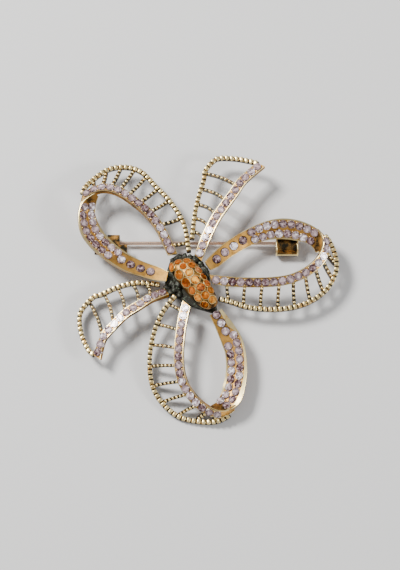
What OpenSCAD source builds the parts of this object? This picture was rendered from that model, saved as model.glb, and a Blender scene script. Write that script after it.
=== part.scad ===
/* [Ribbons] */
// Width of a one-row jewelled strip, outside its rims
strip_w = 2.2; // [2.1:0.05:2.4]
// Thickness of a cast ribbon
ribbon_t = 1.1; // [1:0.05:1.2]
// Width of the thin rim on each edge of a strip
rim_w = 0.2; // [0.15:0.05:0.25]
// Depth of the channel that the stones sit in
channel_d = 0.55; // [0.5:0.05:0.6]

/* [Ladders] */
// Width of the beaded outer rail, between beads and on a bead
rail_w = [0.75, 1.05]; // [0.7:0.05:1.1]
// Distance from one bead of a rail to the next
bead_pitch = 1.45; // [1.4:0.05:1.5]
// Distance from one bead of a rung to the next
rung_pitch = 1.6; // [1.5:0.05:1.8]
// Width of a rung, between beads and on a bead
rung_w = [0.42, 0.7]; // [0.4:0.05:0.8]
// Rungs in the ladder of a loop
loop_rungs = 9; // [7:1:9]
// Rungs in the ladder of a tail
tail_rungs = 5; // [4:1:5]

/* [Stones] */
// Diameter of a stone
stone_d = 1.6; // [1.5:0.05:1.65]
// Distance from one stone of a row to the next
stone_pitch = 1.78; // [1.76:0.01:1.8]
// Distance between the two rows of a back leg
row_gap = 1.78; // [1.76:0.01:1.85]
// Height of a stone above its girdle
crown_h = 0.32; // [0.25:0.01:0.35]
// Depth of a stone below its girdle
pavilion_h = 0.38; // [0.3:0.01:0.4]

/* [Knot] */
// Height of the knot above its seat
knot_h = 3.9; // [3.6:0.1:4.2]
// Diameter of an amber stone
amber_d = 1.7; // [1.5:0.05:1.7]

/* [Pin] */
// Diameter of the pin stem
stem_d = 0.75; // [0.7:0.05:0.8]
// Diameter of the hinge rivet
rivet_d = 0.8; // [0.7:0.05:0.9]
// Clearance of the stem's eye round the rivet, on the radius
eye_clear = 0.05; // [0.03:0.01:0.08]
// Height of the hinge rivet above the surface that the brooch lies on
pin_z = 1.3; // [1.25:0.05:1.3]

/* [Hidden] */

// Colours of the antique gold, the dark hollows, the pin and the stones
gold = [0.80, 0.66, 0.40];
dark_gold = [0.22, 0.22, 0.16];
pin_gold = [0.86, 0.68, 0.52];
lilac = [0.80, 0.68, 0.74];
amber = [0.88, 0.52, 0.10];

// Place of the drawn bow in the part's frame, so that the origin is under the middle of the box
bow_shift = [0.14, -0.55, 0];

// Every ribbon is a row for each of its sections: the rim's place, then the place of the foot,
// which is the rail of a front leg and the lower edge of a back leg.
// Columns: rim x, rim y, rim z, foot x, foot y, foot z
RIM = [0, 1, 2];
FOOT = [3, 4, 5];

left_front = [
  [ -8.7,  7.4, 5.8,  -4.1,  8.2, 5.3],
  [-11.1, 12.7, 6.4,  -5.2, 14.6, 4.7],
  [-13.5, 16.0, 6.9,  -8.2, 19.8, 4.3],
  [-16.0, 18.2, 7.2, -11.2, 23.1, 4.1],
  [-18.6, 20.0, 7.4, -14.2, 26.3, 4.1],
  [-20.7, 21.0, 7.4, -17.5, 27.5, 4.1],
  [-22.9, 21.3, 7.3, -21.4, 27.0, 4.3],
  [-25.1, 20.6, 7.2, -24.8, 24.5, 4.8],
  [-26.8, 19.3, 7.1, -26.8, 22.0, 5.5],
  [-27.6, 17.9, 7.0, -27.6, 18.6, 4.9]
];
left_back = [
  [-25.0, 19.9, 7.1, -24.0, 20.2, 5.8],
  [-26.8, 18.2, 7.0, -24.2, 18.9, 4.7],
  [-27.7, 16.2, 7.0, -24.1, 16.7, 4.2],
  [-27.5, 12.8, 6.8, -23.2, 14.2, 4.3],
  [-26.1, 10.1, 6.6, -21.8, 12.1, 4.4],
  [-23.7,  7.6, 6.4, -19.7, 10.0, 4.4],
  [-20.9,  5.5, 6.2, -17.5,  8.3, 4.4],
  [-17.7,  3.7, 6.1, -15.0,  6.8, 4.6],
  [-14.5,  2.6, 6.0, -12.6,  5.7, 4.9],
  [-11.5,  1.7, 6.0, -10.5,  4.8, 5.4],
  [ -9.0,  1.4, 6.0,  -8.5,  3.7, 5.8]
];
right_front = [
  [ 0.3,  3.0, 5.8,   2.4, -2.2, 5.3],
  [ 4.7,  2.4, 6.3,   5.1, -2.8, 4.6],
  [ 9.0,  2.1, 6.7,   8.5, -3.8, 4.2],
  [12.8,  2.1, 6.9,  12.4, -4.2, 4.0],
  [16.5,  2.5, 7.0,  16.3, -4.1, 4.0],
  [19.2,  3.4, 7.1,  20.0, -3.3, 4.0],
  [21.6,  4.8, 7.1,  23.4, -1.6, 4.1],
  [23.4,  6.5, 7.1,  26.0,  0.9, 4.2],
  [24.5,  8.4, 7.1,  27.5,  4.3, 4.5],
  [24.8, 10.2, 7.0,  27.3,  7.4, 4.9],
  [24.3, 11.9, 6.9,  26.0, 10.6, 5.3],
  [23.2, 13.1, 6.8,  23.7, 13.4, 5.0]
];
right_back = [
  [23.6,  8.3, 7.0,  22.8,  8.1, 5.6],
  [23.9, 10.2, 7.0,  22.1,  9.6, 4.8],
  [23.1, 12.3, 7.0,  20.7, 10.5, 4.4],
  [21.2, 14.1, 6.9,  18.8, 10.9, 4.3],
  [18.4, 15.0, 6.8,  16.9, 11.2, 4.3],
  [15.4, 15.2, 6.7,  14.4, 11.2, 4.3],
  [12.4, 14.6, 6.6,  12.1, 10.8, 4.4],
  [ 9.4, 13.4, 6.4,   9.8, 10.0, 4.5],
  [ 6.4, 11.8, 6.3,   7.4,  8.7, 4.7],
  [ 3.4,  9.8, 6.1,   4.9,  7.0, 5.0],
  [ 0.6,  7.3, 5.9,   2.2,  4.8, 5.4],
  [-0.7,  5.9, 5.8,   0.6,  4.0, 5.6]
];
bottom_front = [
  [-3.8,  -4.1, 5.9,  -6.9,  -1.4, 5.1],
  [-4.5,  -7.3, 5.9,  -9.6,  -4.8, 4.3],
  [-5.0, -10.8, 5.8, -11.4,  -8.9, 3.5],
  [-5.3, -14.3, 5.6, -12.3, -13.0, 2.8],
  [-5.1, -17.6, 5.3, -12.4, -17.4, 2.2],
  [-4.3, -20.6, 5.0, -11.6, -21.2, 1.5],
  [-2.8, -22.9, 4.6,  -9.5, -24.4, 1.1],
  [-0.9, -24.9, 4.3,  -6.2, -27.0, 0.8],
  [ 1.1, -26.3, 4.1,  -2.4, -28.0, 0.7],
  [ 2.8, -26.5, 4.0,   1.2, -28.2, 1.1],
  [ 4.5, -26.2, 4.0,   3.6, -27.5, 1.9],
  [ 5.9, -25.2, 4.0,   5.7, -25.9, 2.2]
];
bottom_back = [
  [ 0.4, -24.6, 4.1,   0.9, -24.4, 3.1],
  [ 1.9, -25.5, 4.0,   1.6, -23.9, 2.4],
  [ 3.7, -25.8, 4.0,   2.3, -22.9, 1.9],
  [ 5.3, -25.4, 4.0,   2.8, -21.8, 1.8],
  [ 6.8, -24.2, 4.1,   3.1, -20.6, 1.9],
  [ 7.8, -21.3, 4.3,   3.6, -18.7, 2.1],
  [ 8.2, -17.8, 4.6,   3.8, -16.4, 2.5],
  [ 8.0, -14.1, 4.9,   3.6, -13.8, 3.0],
  [ 7.2, -10.9, 5.2,   2.9, -11.8, 3.6],
  [ 5.7,  -8.3, 5.5,   2.0,  -9.5, 4.1],
  [ 4.3,  -6.4, 5.7,   1.2,  -7.7, 4.9],
  [ 2.9,  -4.6, 5.8,   0.3,  -6.0, 5.6]
];
top_tail = [
  [-1.3,  6.0, 5.7,  -3.7,  8.3, 5.9],
  [-0.1,  9.2, 6.6,  -3.3, 12.0, 5.8],
  [ 1.1, 12.0, 6.8,  -3.0, 14.9, 5.5],
  [ 2.5, 14.8, 6.9,  -2.6, 17.8, 5.2],
  [ 4.1, 17.2, 6.9,  -1.9, 20.9, 5.0],
  [ 6.5, 20.6, 6.9,  -0.9, 24.1, 4.9],
  [ 8.5, 23.5, 6.8,   0.3, 27.2, 4.9],
  [12.3, 27.0, 6.6,   9.0, 29.0, 5.6]
];
left_tail = [
  [ -8.3,  -1.3, 5.8,  -9.8,   1.1, 4.1],
  [-11.8,  -2.8, 5.9, -13.4,   1.6, 4.0],
  [-14.3,  -4.5, 5.8, -16.2,   1.5, 4.0],
  [-17.3,  -6.4, 5.5, -19.4,   0.7, 3.7],
  [-19.8,  -8.9, 5.2, -22.3,  -0.6, 3.3],
  [-22.1, -11.7, 4.8, -25.3,  -2.6, 2.9],
  [-23.0, -15.3, 4.3, -25.2, -13.5, 3.2]
];

// Where a tail's rail turns the corner and crosses the tail's open end, to the strip
top_tail_end = [[1.0, 28.5, 4.9], [2.6, 29.3, 4.9], [6.2, 29.1, 5.1], [9.2, 28.4, 5.5], [10.8, 27.8, 5.9]];
left_tail_end = [[-27.0, -4.0, 2.7], [-27.5, -6.2, 2.7], [-27.0, -9.6, 2.8], [-25.6, -12.8, 3.1],
  [-24.3, -14.1, 3.5]];

// Points along a curve through the rows of a table, at t from 0 to the last row
function spline(rows, t) =
  let (
    n = len(rows),
    i = max(0, min(floor(t), n - 2)),
    u = t - i,
    a = rows[max(i - 1, 0)],
    b = rows[i],
    c = rows[i + 1],
    d = rows[min(i + 2, n - 1)]
  )
  0.5 * (2 * b + (c - a) * u + (2 * a - 5 * b + 4 * c - d) * pow(u, 2)
    + (3 * b - a - 3 * c + d) * pow(u, 3));

module in_place() translate(bow_shift) children();
function unit(v) = v / norm(v);
function pick(row, columns) = [for (i = columns) row[i]];
function clamp(x, low, high) = max(low, min(high, x));
function last(list) = list[len(list) - 1];
function columns_of(rows, columns) = [for (row = rows) pick(row, columns)];

// Running length of a polyline, one entry for each point
function running(points, i = 0, total = 0) =
  i >= len(points) ? [] :
  let (sum = i == 0 ? 0 : total + norm(points[i] - points[i - 1]))
  concat([sum], running(points, i + 1, sum));

// A table of running length against t, for a curve that is sampled in small steps
step_t = 0.1;
function length_table(path) =
  let (
    ts = [for (t = [0:step_t:len(path) - 1 + step_t / 2]) min(t, len(path) - 1)],
    run = running([for (t = ts) spline(path, t)])
  )
  [for (i = [0:len(ts) - 1]) [run[i], ts[i]]];

// Section of a ribbon at t: origin on the rim, then across, face normal, along and width
look_t = 0.05;
function section(rows, t, side) =
  let (
    here = spline(rows, t),
    rim = pick(here, RIM),
    foot = pick(here, FOOT),
    before = spline(rows, max(t - look_t, 0)),
    after = spline(rows, min(t + look_t, len(rows) - 1)),
    along = unit(pick(after, RIM) + pick(after, FOOT) - pick(before, RIM) - pick(before, FOOT)),
    across = unit(foot - rim),
    normal = unit(side * cross(along, across))
  )
  [rim, across, normal, along, norm(foot - rim)];
function placed(s, d, h) = s[0] + s[1] * d + s[2] * h;

// Outline of a strip with a channel in its face: places across it, and heights above its rims
function channel_outline(w, channel, depth, t) = [
  [0, 0], [channel[0], 0], [channel[0], -depth], [channel[1], -depth], [channel[1], 0], [w, 0],
  [w, -t], [0, -t]
];

// Solid skinned over closed rings of equal length, from the first ring to the last
module skin(rings) {
  n = len(rings[0]);
  count = len(rings);
  points = [for (ring = rings) each ring];
  sides = [
    for (i = [0:count - 2]) for (j = [0:n - 1])
    let (a = i * n + j, b = i * n + (j + 1) % n, c = a + n, d = b + n)
    each [[a, b, d], [a, d, c]]
  ];
  caps = [[for (j = [n - 1:-1:0]) j], [for (j = [0:n - 1]) (count - 1) * n + j]];
  polyhedron(points, concat(sides, caps), convexity = 8);
}

// Rings run one way or the other with the side that a strip faces, so a mirrored one is turned
function turned(ring, side) = side > 0 ? ring : [for (i = [len(ring) - 1:-1:0]) ring[i]];

// Places of the rings along a ribbon: at both ends, at its stops, and wherever it has turned far
ring_step = 0.25;
ring_turn = 15;
function is_stop(t, stops) = len([for (p = stops) if (abs(p - t) < ring_step / 2) p]) > 0;
function turn_between(a, b) = acos(clamp(a[3] * b[3], -1, 1)) + acos(clamp(a[1] * b[1], -1, 1)) / 2;
function ring_places(rows, side, stops, t = 0, kept = 0) =
  let (end = len(rows) - 1)
  t >= end ? [end] :
  let (
    turned_far = turn_between(section(rows, kept, side), section(rows, t + ring_step, side)) > ring_turn,
    keep = t == 0 || is_stop(t, stops) || turned_far && t > kept
  )
  concat(keep ? [t] : [], ring_places(rows, side, stops, t + ring_step, keep ? t : kept));

// One-row strip along the rims of a front leg, thin where it runs out at the tip of a loop
strip_channel = [rim_w, strip_w - rim_w];
// Thinnest a strip gets, as a share of its thickness, and how fast it and its channel fade there
tip_thin = 0.35;
tip_fade = 0.8;
channel_fade = 2.5;
least_channel = 0.1;
function strip_rings(rows, side, end_thin) = [
  for (t = ring_places(rows, side, []))
  let (
    s = section(rows, t, side),
    share = end_thin ? clamp((len(rows) - 1 - t) * tip_fade, tip_thin, 1) : 1,
    depth = channel_d * clamp((share - tip_thin) * channel_fade, least_channel, 1)
  )
  turned([for (p = channel_outline(strip_w, strip_channel, depth, ribbon_t * share)) placed(s, p[0], p[1])],
    side)
];

// Solid back leg: two rows wide, thin where it starts under the tip, and one row wide at the knot
one_row_w = strip_w - 2 * rim_w;
row_clear = 0.15;
two_row_w = stone_d + row_gap + row_clear;
// Where a back leg starts to thicken, and over how many rows of its table
leg_grow = [0.5, 1.6];
// Least depth of a channel, where it starts
groove_min = 0.04;
// Share of the spare width that lies outside the stones, as a bevel
bevel_share = 0.6;
function leg_thickness(t) = ribbon_t * clamp(tip_thin + (t - leg_grow[0]) / leg_grow[1], tip_thin, 1);
function leg_channel_d(t, from) = clamp((t - from) * 2 * channel_d, groove_min, channel_d);
// The channel as two places across the leg: two rows wide up to the place pair_to, and then one
function leg_channel(w, t, pair_to) =
  let (
    inner_w = min(w - 2 * rim_w, t < pair_to + ring_step / 2 ? two_row_w : one_row_w),
    bevel = max(rim_w, (w - inner_w) * bevel_share)
  )
  [bevel, min(bevel + inner_w, w - rim_w)];
function leg_middle(w, t, pair_to) =
  let (channel = leg_channel(w, t, pair_to))
  (channel[0] + channel[1]) / 2;
function leg_rings(rows, side, from, pair_to) = [
  for (t = ring_places(rows, side, [from, from + 0.5, pair_to, pair_to + ring_step]))
  let (
    s = section(rows, t, side),
    channel = leg_channel(s[4], t, pair_to)
  )
  turned([for (p = channel_outline(s[4], channel, leg_channel_d(t, from), leg_thickness(t)))
    placed(s, p[0], p[1])], side)
];

// Beaded bar along a path: rings swell on each bead and draw in between two
function bead_rings(path, sizes) =
  let (
    table = length_table(path),
    total = last(table)[0],
    beads = max(2, round(total / bead_pitch)),
    top = len(path) - 1
  )
  [for (i = [0:beads * 2])
    let (
      t = lookup(i * total / beads / 2, table),
      at = spline(path, t),
      tangent = unit(spline(path, min(t + look_t, top)) - spline(path, max(t - look_t, 0))),
      level = unit(cross(tangent, [0, 0, 1])),
      up = cross(level, tangent),
      r = (i % 2 == 0 ? sizes[0] : sizes[1]) / 2 / cos(180 / rail_sides)
    )
    [for (j = [0:rail_sides - 1])
      let (a = 360 * (j + 0.5) / rail_sides)
      at + r * (cos(a) * level + sin(a) * up)]
  ];

rail_sides = 4;
module rail(path) {
  skin(bead_rings(path, rail_w));
}

// A rung is a thin bowed web that swells into a row of beads along its top, which dips between two.
// Its root lies a little below the strip's face.
// Columns of its outline: half widths across, and height above the ladder's face
rung_bow = 0.35;
loop_bow = 0.1;
rung_dip = 0.6;
rung_root = 0.2;
web_outline = [[-1, -0.95], [1, -0.95]];
bead_outline = [[1, -0.3], [0, 0.2], [-1, -0.3]];
module rung(from, to, lift, bow) {
  level = unit(cross(to - from, lift));
  path = [from, (from + to) / 2 + level * bow, to];
  table = length_table(path);
  beads = max(2, round(last(table)[0] / rung_pitch));
  rings = [for (i = [0:beads * 2])
    let (
      at = spline(path, lookup(i * last(table)[0] / beads / 2, table)),
      w = (i % 2 == 0 ? rung_w[0] : rung_w[1]) / 2,
      h = i % 2 == 0 ? rung_dip : 1
    )
    concat([for (p = web_outline) at + level * p[0] * rung_w[0] / 2 + lift * p[1]],
      [for (p = bead_outline) at + level * p[0] * w + lift * (p[1] > 0 ? p[1] * h : p[1])])];
  for (i = [0:len(rings) - 2]) hull() skin([rings[i], rings[i + 1]]);
}

// Rungs at even steps along the ladder, from the strip's outer edge to the rail
module ladder(rows, side, first, end, count, bow) {
  for (i = [0:count - 1]) {
    s = section(rows, first + (end - first) * i / (count - 1), side);
    rung(placed(s, strip_w - rim_w, -rung_root), placed(s, s[4], 0), s[2], bow);
  }
}

// Loop: front strip, beaded rail and rungs, then the solid back leg, which faces the other way.
// stones_from is where the channel of the back leg starts
loop_side = -1;
module loop_ribbon(front, back, places, stones_from, pair_to) {
  feet = columns_of(front, FOOT);
  color(gold) in_place() {
    skin(strip_rings(front, loop_side, true));
    rail([for (t = [0:0.5:places[0] + 0.5]) spline(feet, min(t, places[0]))]);
    ladder(front, loop_side, places[1], places[2], loop_rungs, loop_bow);
    skin(leg_rings(back, -loop_side, stones_from, pair_to));
  }
}

// Cut stone: eight-sided table, eight crown facets and a point below, girdle at height 0
facets = 8;
table_share = 0.6;
module cut_stone(d) {
  table = [for (i = [0:facets - 1]) let (a = 360 * i / facets)
    [table_share * d / 2 * cos(a), table_share * d / 2 * sin(a), crown_h]];
  girdle = [for (i = [0:facets - 1]) let (a = 360 * i / facets) [d / 2 * cos(a), d / 2 * sin(a), 0]];
  ring = [for (i = [0:facets - 1]) i];
  polyhedron(
    concat(table, girdle, [[0, 0, -pavilion_h]]),
    concat(
      [[for (i = [facets - 1:-1:0]) i]],
      [for (i = ring) [i, (i + 1) % facets, facets + (i + 1) % facets, facets + i]],
      [for (i = ring) [facets + i, facets + (i + 1) % facets, 2 * facets]]
    )
  );
}

// Stands a stone on a section, d across and its girdle just under the rims
girdle_sink = 0.1;
module stone_on(s, d) {
  at = placed(s, d, -girdle_sink);
  y = s[2];
  z = s[3];
  x = cross(y, z);
  multmatrix([
    [x[0], z[0], y[0], at[0]],
    [x[1], z[1], y[1], at[1]],
    [x[2], z[2], y[2], at[2]],
    [0, 0, 0, 1]
  ])
  cut_stone(stone_d);
}

// Stones at even steps along a strip
path_step = 0.25;
function step_table(path) = [for (entry = length_table(path)) [entry[0], entry[1] * path_step]];
first_stone = stone_d / 2 + row_clear;
module strip_stones(rows, side, count) {
  table = step_table([for (t = [0:path_step:len(rows) - 1]) placed(section(rows, t, side), strip_w / 2, 0)]);
  for (i = [0:count - 1]) {
    t = lookup(first_stone + i * stone_pitch, table);
    stone_on(section(rows, t, side), strip_w / 2);
  }
}

// Stones at even steps along a back leg, at an offset from the middle of its channel.
// Row: offset, place of the first along the leg, count, step
module leg_stones(rows, side, pair_to, row) {
  table = step_table([
    for (t = [0:path_step:len(rows) - 1])
    let (s = section(rows, t, side))
    placed(s, leg_middle(s[4], t, pair_to) + row[0], 0)
  ]);
  for (i = [0:row[2] - 1]) {
    t = lookup(row[1] + i * row[3], table);
    s = section(rows, t, side);
    stone_on(s, leg_middle(s[4], t, pair_to) + row[0]);
  }
}

// Stones of a loop: the front row, then the back leg's outer, inner and single rows
module loop_stones(front, back, count, pair_to, rows) {
  color(lilac) in_place() {
    strip_stones(front, loop_side, count);
    for (row = rows) leg_stones(back, -loop_side, pair_to, row);
  }
}

// Where the two rows of each back leg end, as a place in its table, and its rows of stones
left_pair_to = 6.25;
right_pair_to = 7.5;
bottom_pair_to = 8.5;
lane = row_gap / 2;
left_rows = [[-lane, 3.9, 8, stone_pitch], [lane, 2.9, 8, stone_pitch], [0, 17.9, 4, 2.3]];
right_rows = [[-lane, 4.5, 9, stone_pitch], [lane, 3.5, 8, stone_pitch], [0, 19.6, 4, 2.35]];
bottom_rows = [[-lane, 3.6, 10, stone_pitch], [lane, 2.9, 8, stone_pitch], [0, 19.6, 3, 2]];

// Ladder of each loop, as places in its front table: end of the rail, first rung and last rung
left_ladder = [8.3, 0.4, 7];
right_ladder = [10.4, 0.8, 8.4];
bottom_ladder = [10.4, 0.6, 9];
// Where the channel of each back leg starts
left_from = 0.75;
right_from = 0.75;
bottom_from = 1;

module loop_left_ribbon() loop_ribbon(left_front, left_back, left_ladder, left_from, left_pair_to);
module loop_left_stones() loop_stones(left_front, left_back, 15, left_pair_to, left_rows);
module loop_right_ribbon() loop_ribbon(right_front, right_back, right_ladder, right_from, right_pair_to);
module loop_right_stones() loop_stones(right_front, right_back, 17, right_pair_to, right_rows);
module loop_bottom_ribbon() loop_ribbon(bottom_front, bottom_back, bottom_ladder, bottom_from, bottom_pair_to);
module loop_bottom_stones() loop_stones(bottom_front, bottom_back, 16, bottom_pair_to, bottom_rows);

// Tail: strip, rungs and a rail that turns the corner at the open end
module tail_ribbon(rows, side, end_path, places) {
  color(gold) in_place() {
    skin(strip_rings(rows, side, false));
    feet = columns_of(rows, FOOT);
    n = len(rows);
    rail(concat([for (t = [places[0]:0.5:n - 2]) spline(feet, t)], end_path));
    ladder(rows, side, places[1], places[2], tail_rungs, rung_bow);
  }
}
module tail_stones(rows, side, count) {
  color(lilac) in_place() strip_stones(rows, side, count);
}

// Ladder of each tail, as places in its table: start of the rail, first rung and last rung
top_ladder = [0.7, 1.2, 5.6];
low_ladder = [0.2, 1, 5];
module tail_top_ribbon() tail_ribbon(top_tail, 1, top_tail_end, top_ladder);
module tail_top_stones() tail_stones(top_tail, 1, 14);
module tail_left_ribbon() tail_ribbon(left_tail, -1, left_tail_end, low_ladder);
module tail_left_stones() tail_stones(left_tail, -1, 12);

// Knot: a rounded block with a domed top, long from upper left to lower right
knot_centre = [-2.57, 1.22];
knot_turn = -50.5;
knot_half = [6.35, 2.85];
knot_taper = 0.05;
knot_power = 3;
knot_seat_z = 4.5;
knot_wall_h = 0.9;
dome_power = 2.6;
knot_points = 18;
knot_levels = [1, 0.92, 0.68, 0.3];
knot_foot = 0.97;
// Height of the dome at a share of the way from its middle to its edge
function dome_z(share) =
  knot_seat_z + knot_wall_h + (knot_h - knot_wall_h) * sqrt(max(0, 1 - pow(share, dome_power)));
function knot_half_w(u) = knot_half[1] - knot_taper * u;
function knot_share(u, v) =
  pow(pow(abs(u) / knot_half[0], knot_power) + pow(abs(v) / knot_half_w(u), knot_power), 1 / knot_power);
function knot_ring(share, z) = [
  for (i = [0:knot_points - 1])
  let (
    a = -360 * i / knot_points,
    u = share * knot_half[0] * sign(cos(a)) * pow(abs(cos(a)), 2 / knot_power),
    v = share * knot_half_w(u) * sign(sin(a)) * pow(abs(sin(a)), 2 / knot_power)
  )
  [u, v, z]
];
module on_knot() translate([knot_centre[0], knot_centre[1], 0]) rotate(knot_turn) children();

// Rows of amber stones along the knot: place across it, first place along it, stones, and the step
amber_rows = [[-1.9, -4.9, 6, 2.0], [0, -5.55, 6, 2.02], [1.9, -4.6, 5, 2.02]];
// Stands its children on the dome at u along and v across it, leaned with its slope
slope_step = 0.05;
module on_dome(u, v) {
  z = dome_z(knot_share(u, v));
  du = (dome_z(knot_share(u + slope_step, v)) - dome_z(knot_share(u - slope_step, v))) / 2 / slope_step;
  dv = (dome_z(knot_share(u, v + slope_step)) - dome_z(knot_share(u, v - slope_step))) / 2 / slope_step;
  translate([u, v, z]) rotate([atan(dv), -atan(du), 0]) children();
}
module amber_spots() {
  on_knot() for (row = amber_rows) for (i = [0:row[2] - 1]) on_dome(row[1] + row[3] * i, row[0]) children();
}
amber_sink = 0.2;
seat_clear = 0.06;
seat_facets = 8;
// Seat: a cup from its flat floor to the girdle, open above
seat_floor_r = 0.35;
seat_h = 1.2;
module amber_seat() {
  r = amber_d / 2 + seat_clear;
  hull() {
    translate([0, 0, -amber_sink - seat_clear])
      cylinder(h = seat_h, r = r, $fn = seat_facets);
    translate([0, 0, -amber_sink - pavilion_h - seat_clear])
      cylinder(h = seat_clear, r = seat_floor_r, $fn = seat_facets);
  }
}
module knot_setting() {
  color(gold) in_place() difference() {
    on_knot() skin(concat([knot_ring(knot_foot, knot_seat_z)],
      [for (share = knot_levels) knot_ring(share, dome_z(share))]));
    amber_spots() amber_seat();
  }
}
module knot_stones() {
  color(amber) in_place() amber_spots() translate([0, 0, -amber_sink]) cut_stone(amber_d);
}

// Centre plate under the knot and the ribbons' roots
plate_top = 4.3;
plate_t = 1.2;
// Corner radius below and at the top, and height of the straight edge at the top
plate_r = [0.5, 0.8];
plate_edge = 0.3;
plate_corners = [
  [-8.6, 2.4], [-7.0, 6.8], [-2.4, 6.9], [0.0, 3.9],
  [1.4, -4.6], [0.2, -5.0], [-5.6, -2.6], [-7.6, -1.0]
];
module centre_plate() {
  color(dark_gold) in_place() hull() for (p = plate_corners) {
    translate([p[0], p[1], plate_top - plate_t]) cylinder(h = plate_t / 2, r = plate_r[0], $fn = 16);
    translate([p[0], p[1], plate_top - plate_edge]) cylinder(h = plate_edge, r = plate_r[1], $fn = 16);
  }
}

// Pin: the hinge's axis runs along y, the stem along x
pin_x = -20.3;
pin_y = 11.2;
eye_w = 1.3;
ear_t = 0.55;
ear_clear = 0.12;
ear_r = pin_z;
bracket_z = [2.75, 3.25];
// Foot of the bracket, under the back leg: lowest x and y, and size
foot_at = [-24.4, 8.2];
foot_size = [7, 2.1];
// The tongue starts inside the foot and runs to the far ear's outer face
tongue_y = foot_at[1] + 0.1;
tongue_l = pin_y + eye_w / 2 + ear_clear + ear_t - tongue_y;
bracket_t = bracket_z[1] - bracket_z[0];
module pin_hinge() {
  color(dark_gold) in_place() {
    translate([foot_at[0], foot_at[1], bracket_z[0]]) cube([foot_size[0], foot_size[1], bracket_t]);
    translate([pin_x - ear_r, tongue_y, bracket_z[0]]) cube([2 * ear_r, tongue_l, bracket_t]);
    for (way = [-1, 1])
      translate([pin_x, pin_y + way * (eye_w / 2 + ear_clear + ear_t / 2), 0]) {
        translate([0, 0, pin_z]) rotate([90, 0, 0]) cylinder(h = ear_t, r = ear_r, center = true, $fn = 48);
        translate([-ear_r, -ear_t / 2, pin_z]) cube([2 * ear_r, ear_t, bracket_z[1] - pin_z]);
      }
    translate([pin_x, pin_y, pin_z]) rotate([90, 0, 0])
      cylinder(h = eye_w + 2 * ear_clear + 2 * ear_t, d = rivet_d, center = true, $fn = 48);
  }
}

// Eye radius, where the point ends, and the point's length and end width
eye_r = 1.05;
stem_tip_x = 19.3;
point_l = 3;
point_d = 0.2;
module pin_stem() {
  color(pin_gold) in_place()
  translate([pin_x, pin_y, pin_z]) difference() {
    union() {
      rotate([90, 0, 0]) cylinder(h = eye_w, r = eye_r, center = true, $fn = 48);
      rotate([0, 90, 0]) cylinder(h = stem_tip_x - pin_x - point_l, d = stem_d, $fn = 32);
      translate([stem_tip_x - pin_x - point_l, 0, 0]) rotate([0, 90, 0])
        cylinder(h = point_l, d1 = stem_d, d2 = point_d, $fn = 32);
    }
    rotate([90, 0, 0]) cylinder(h = 2 * eye_w, d = rivet_d + 2 * eye_clear, center = true, $fn = 48);
  }
}

// Catch: its ends along x, the middle of its curl, the curl's radii, its mouth and its flat foot
catch_x = [14.7, 19.4];
catch_y = pin_y - 1.25;
catch_r = [1.15, 1.6];
mouth = [[0, 4], [0, 0], [1.4, -3], [4, -3], [4, 4]];
foot_y = [-0.1, 2.7];
module pin_catch() {
  color(dark_gold) in_place()
  translate([catch_x[0], catch_y, catch_r[1]]) rotate([90, 0, 90]) {
    linear_extrude(catch_x[1] - catch_x[0]) {
      difference() {
        circle(r = catch_r[1], $fn = 64);
        circle(r = catch_r[0], $fn = 64);
        polygon(mouth);
      }
      translate([foot_y[0], catch_r[0]]) square([foot_y[1] - foot_y[0], catch_r[1] - catch_r[0]]);
    }
  }
}

loop_left_ribbon();
loop_left_stones();
loop_right_ribbon();
loop_right_stones();
loop_bottom_ribbon();
loop_bottom_stones();
tail_top_ribbon();
tail_top_stones();
tail_left_ribbon();
tail_left_stones();
knot_setting();
knot_stones();
centre_plate();
pin_hinge();
pin_stem();
pin_catch();
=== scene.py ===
import math

import bmesh
import bpy
from mathutils import Matrix, Vector, noise


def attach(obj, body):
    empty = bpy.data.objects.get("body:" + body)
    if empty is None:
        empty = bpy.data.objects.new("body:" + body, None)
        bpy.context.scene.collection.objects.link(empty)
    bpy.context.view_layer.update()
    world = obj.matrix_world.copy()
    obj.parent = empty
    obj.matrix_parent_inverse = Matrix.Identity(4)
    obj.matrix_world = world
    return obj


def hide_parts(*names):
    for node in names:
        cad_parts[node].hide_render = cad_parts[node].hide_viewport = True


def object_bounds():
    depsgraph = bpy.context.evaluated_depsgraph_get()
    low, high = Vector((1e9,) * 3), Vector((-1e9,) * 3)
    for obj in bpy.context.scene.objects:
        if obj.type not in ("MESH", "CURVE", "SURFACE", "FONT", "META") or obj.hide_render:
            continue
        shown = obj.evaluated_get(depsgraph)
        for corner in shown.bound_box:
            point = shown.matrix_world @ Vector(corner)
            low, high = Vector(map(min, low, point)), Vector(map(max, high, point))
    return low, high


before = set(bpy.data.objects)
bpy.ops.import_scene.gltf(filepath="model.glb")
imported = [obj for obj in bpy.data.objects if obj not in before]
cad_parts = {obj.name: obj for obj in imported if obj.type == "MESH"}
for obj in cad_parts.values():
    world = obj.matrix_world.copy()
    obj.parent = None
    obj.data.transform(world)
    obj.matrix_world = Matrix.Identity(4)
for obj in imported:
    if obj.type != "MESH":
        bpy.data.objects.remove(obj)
cad_low, cad_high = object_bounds()

bl_info = {
    "name": "Love Knot Brooch",
    "version": (1, 0, 0),
    "blender": (4, 5, 0),
    "location": "View3D > Sidebar > Brooch",
    "description": "Dresses the bow brooch: cut ribbons, ladders of beads, stones, knot, pin and studio",
    "category": "Object",
}

MM = 0.001
BODY = "brooch"

# Place of the drawn bow in the frame, as in the part
BOW_SHIFT = Vector((0.14, -0.55, 0.0))

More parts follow.
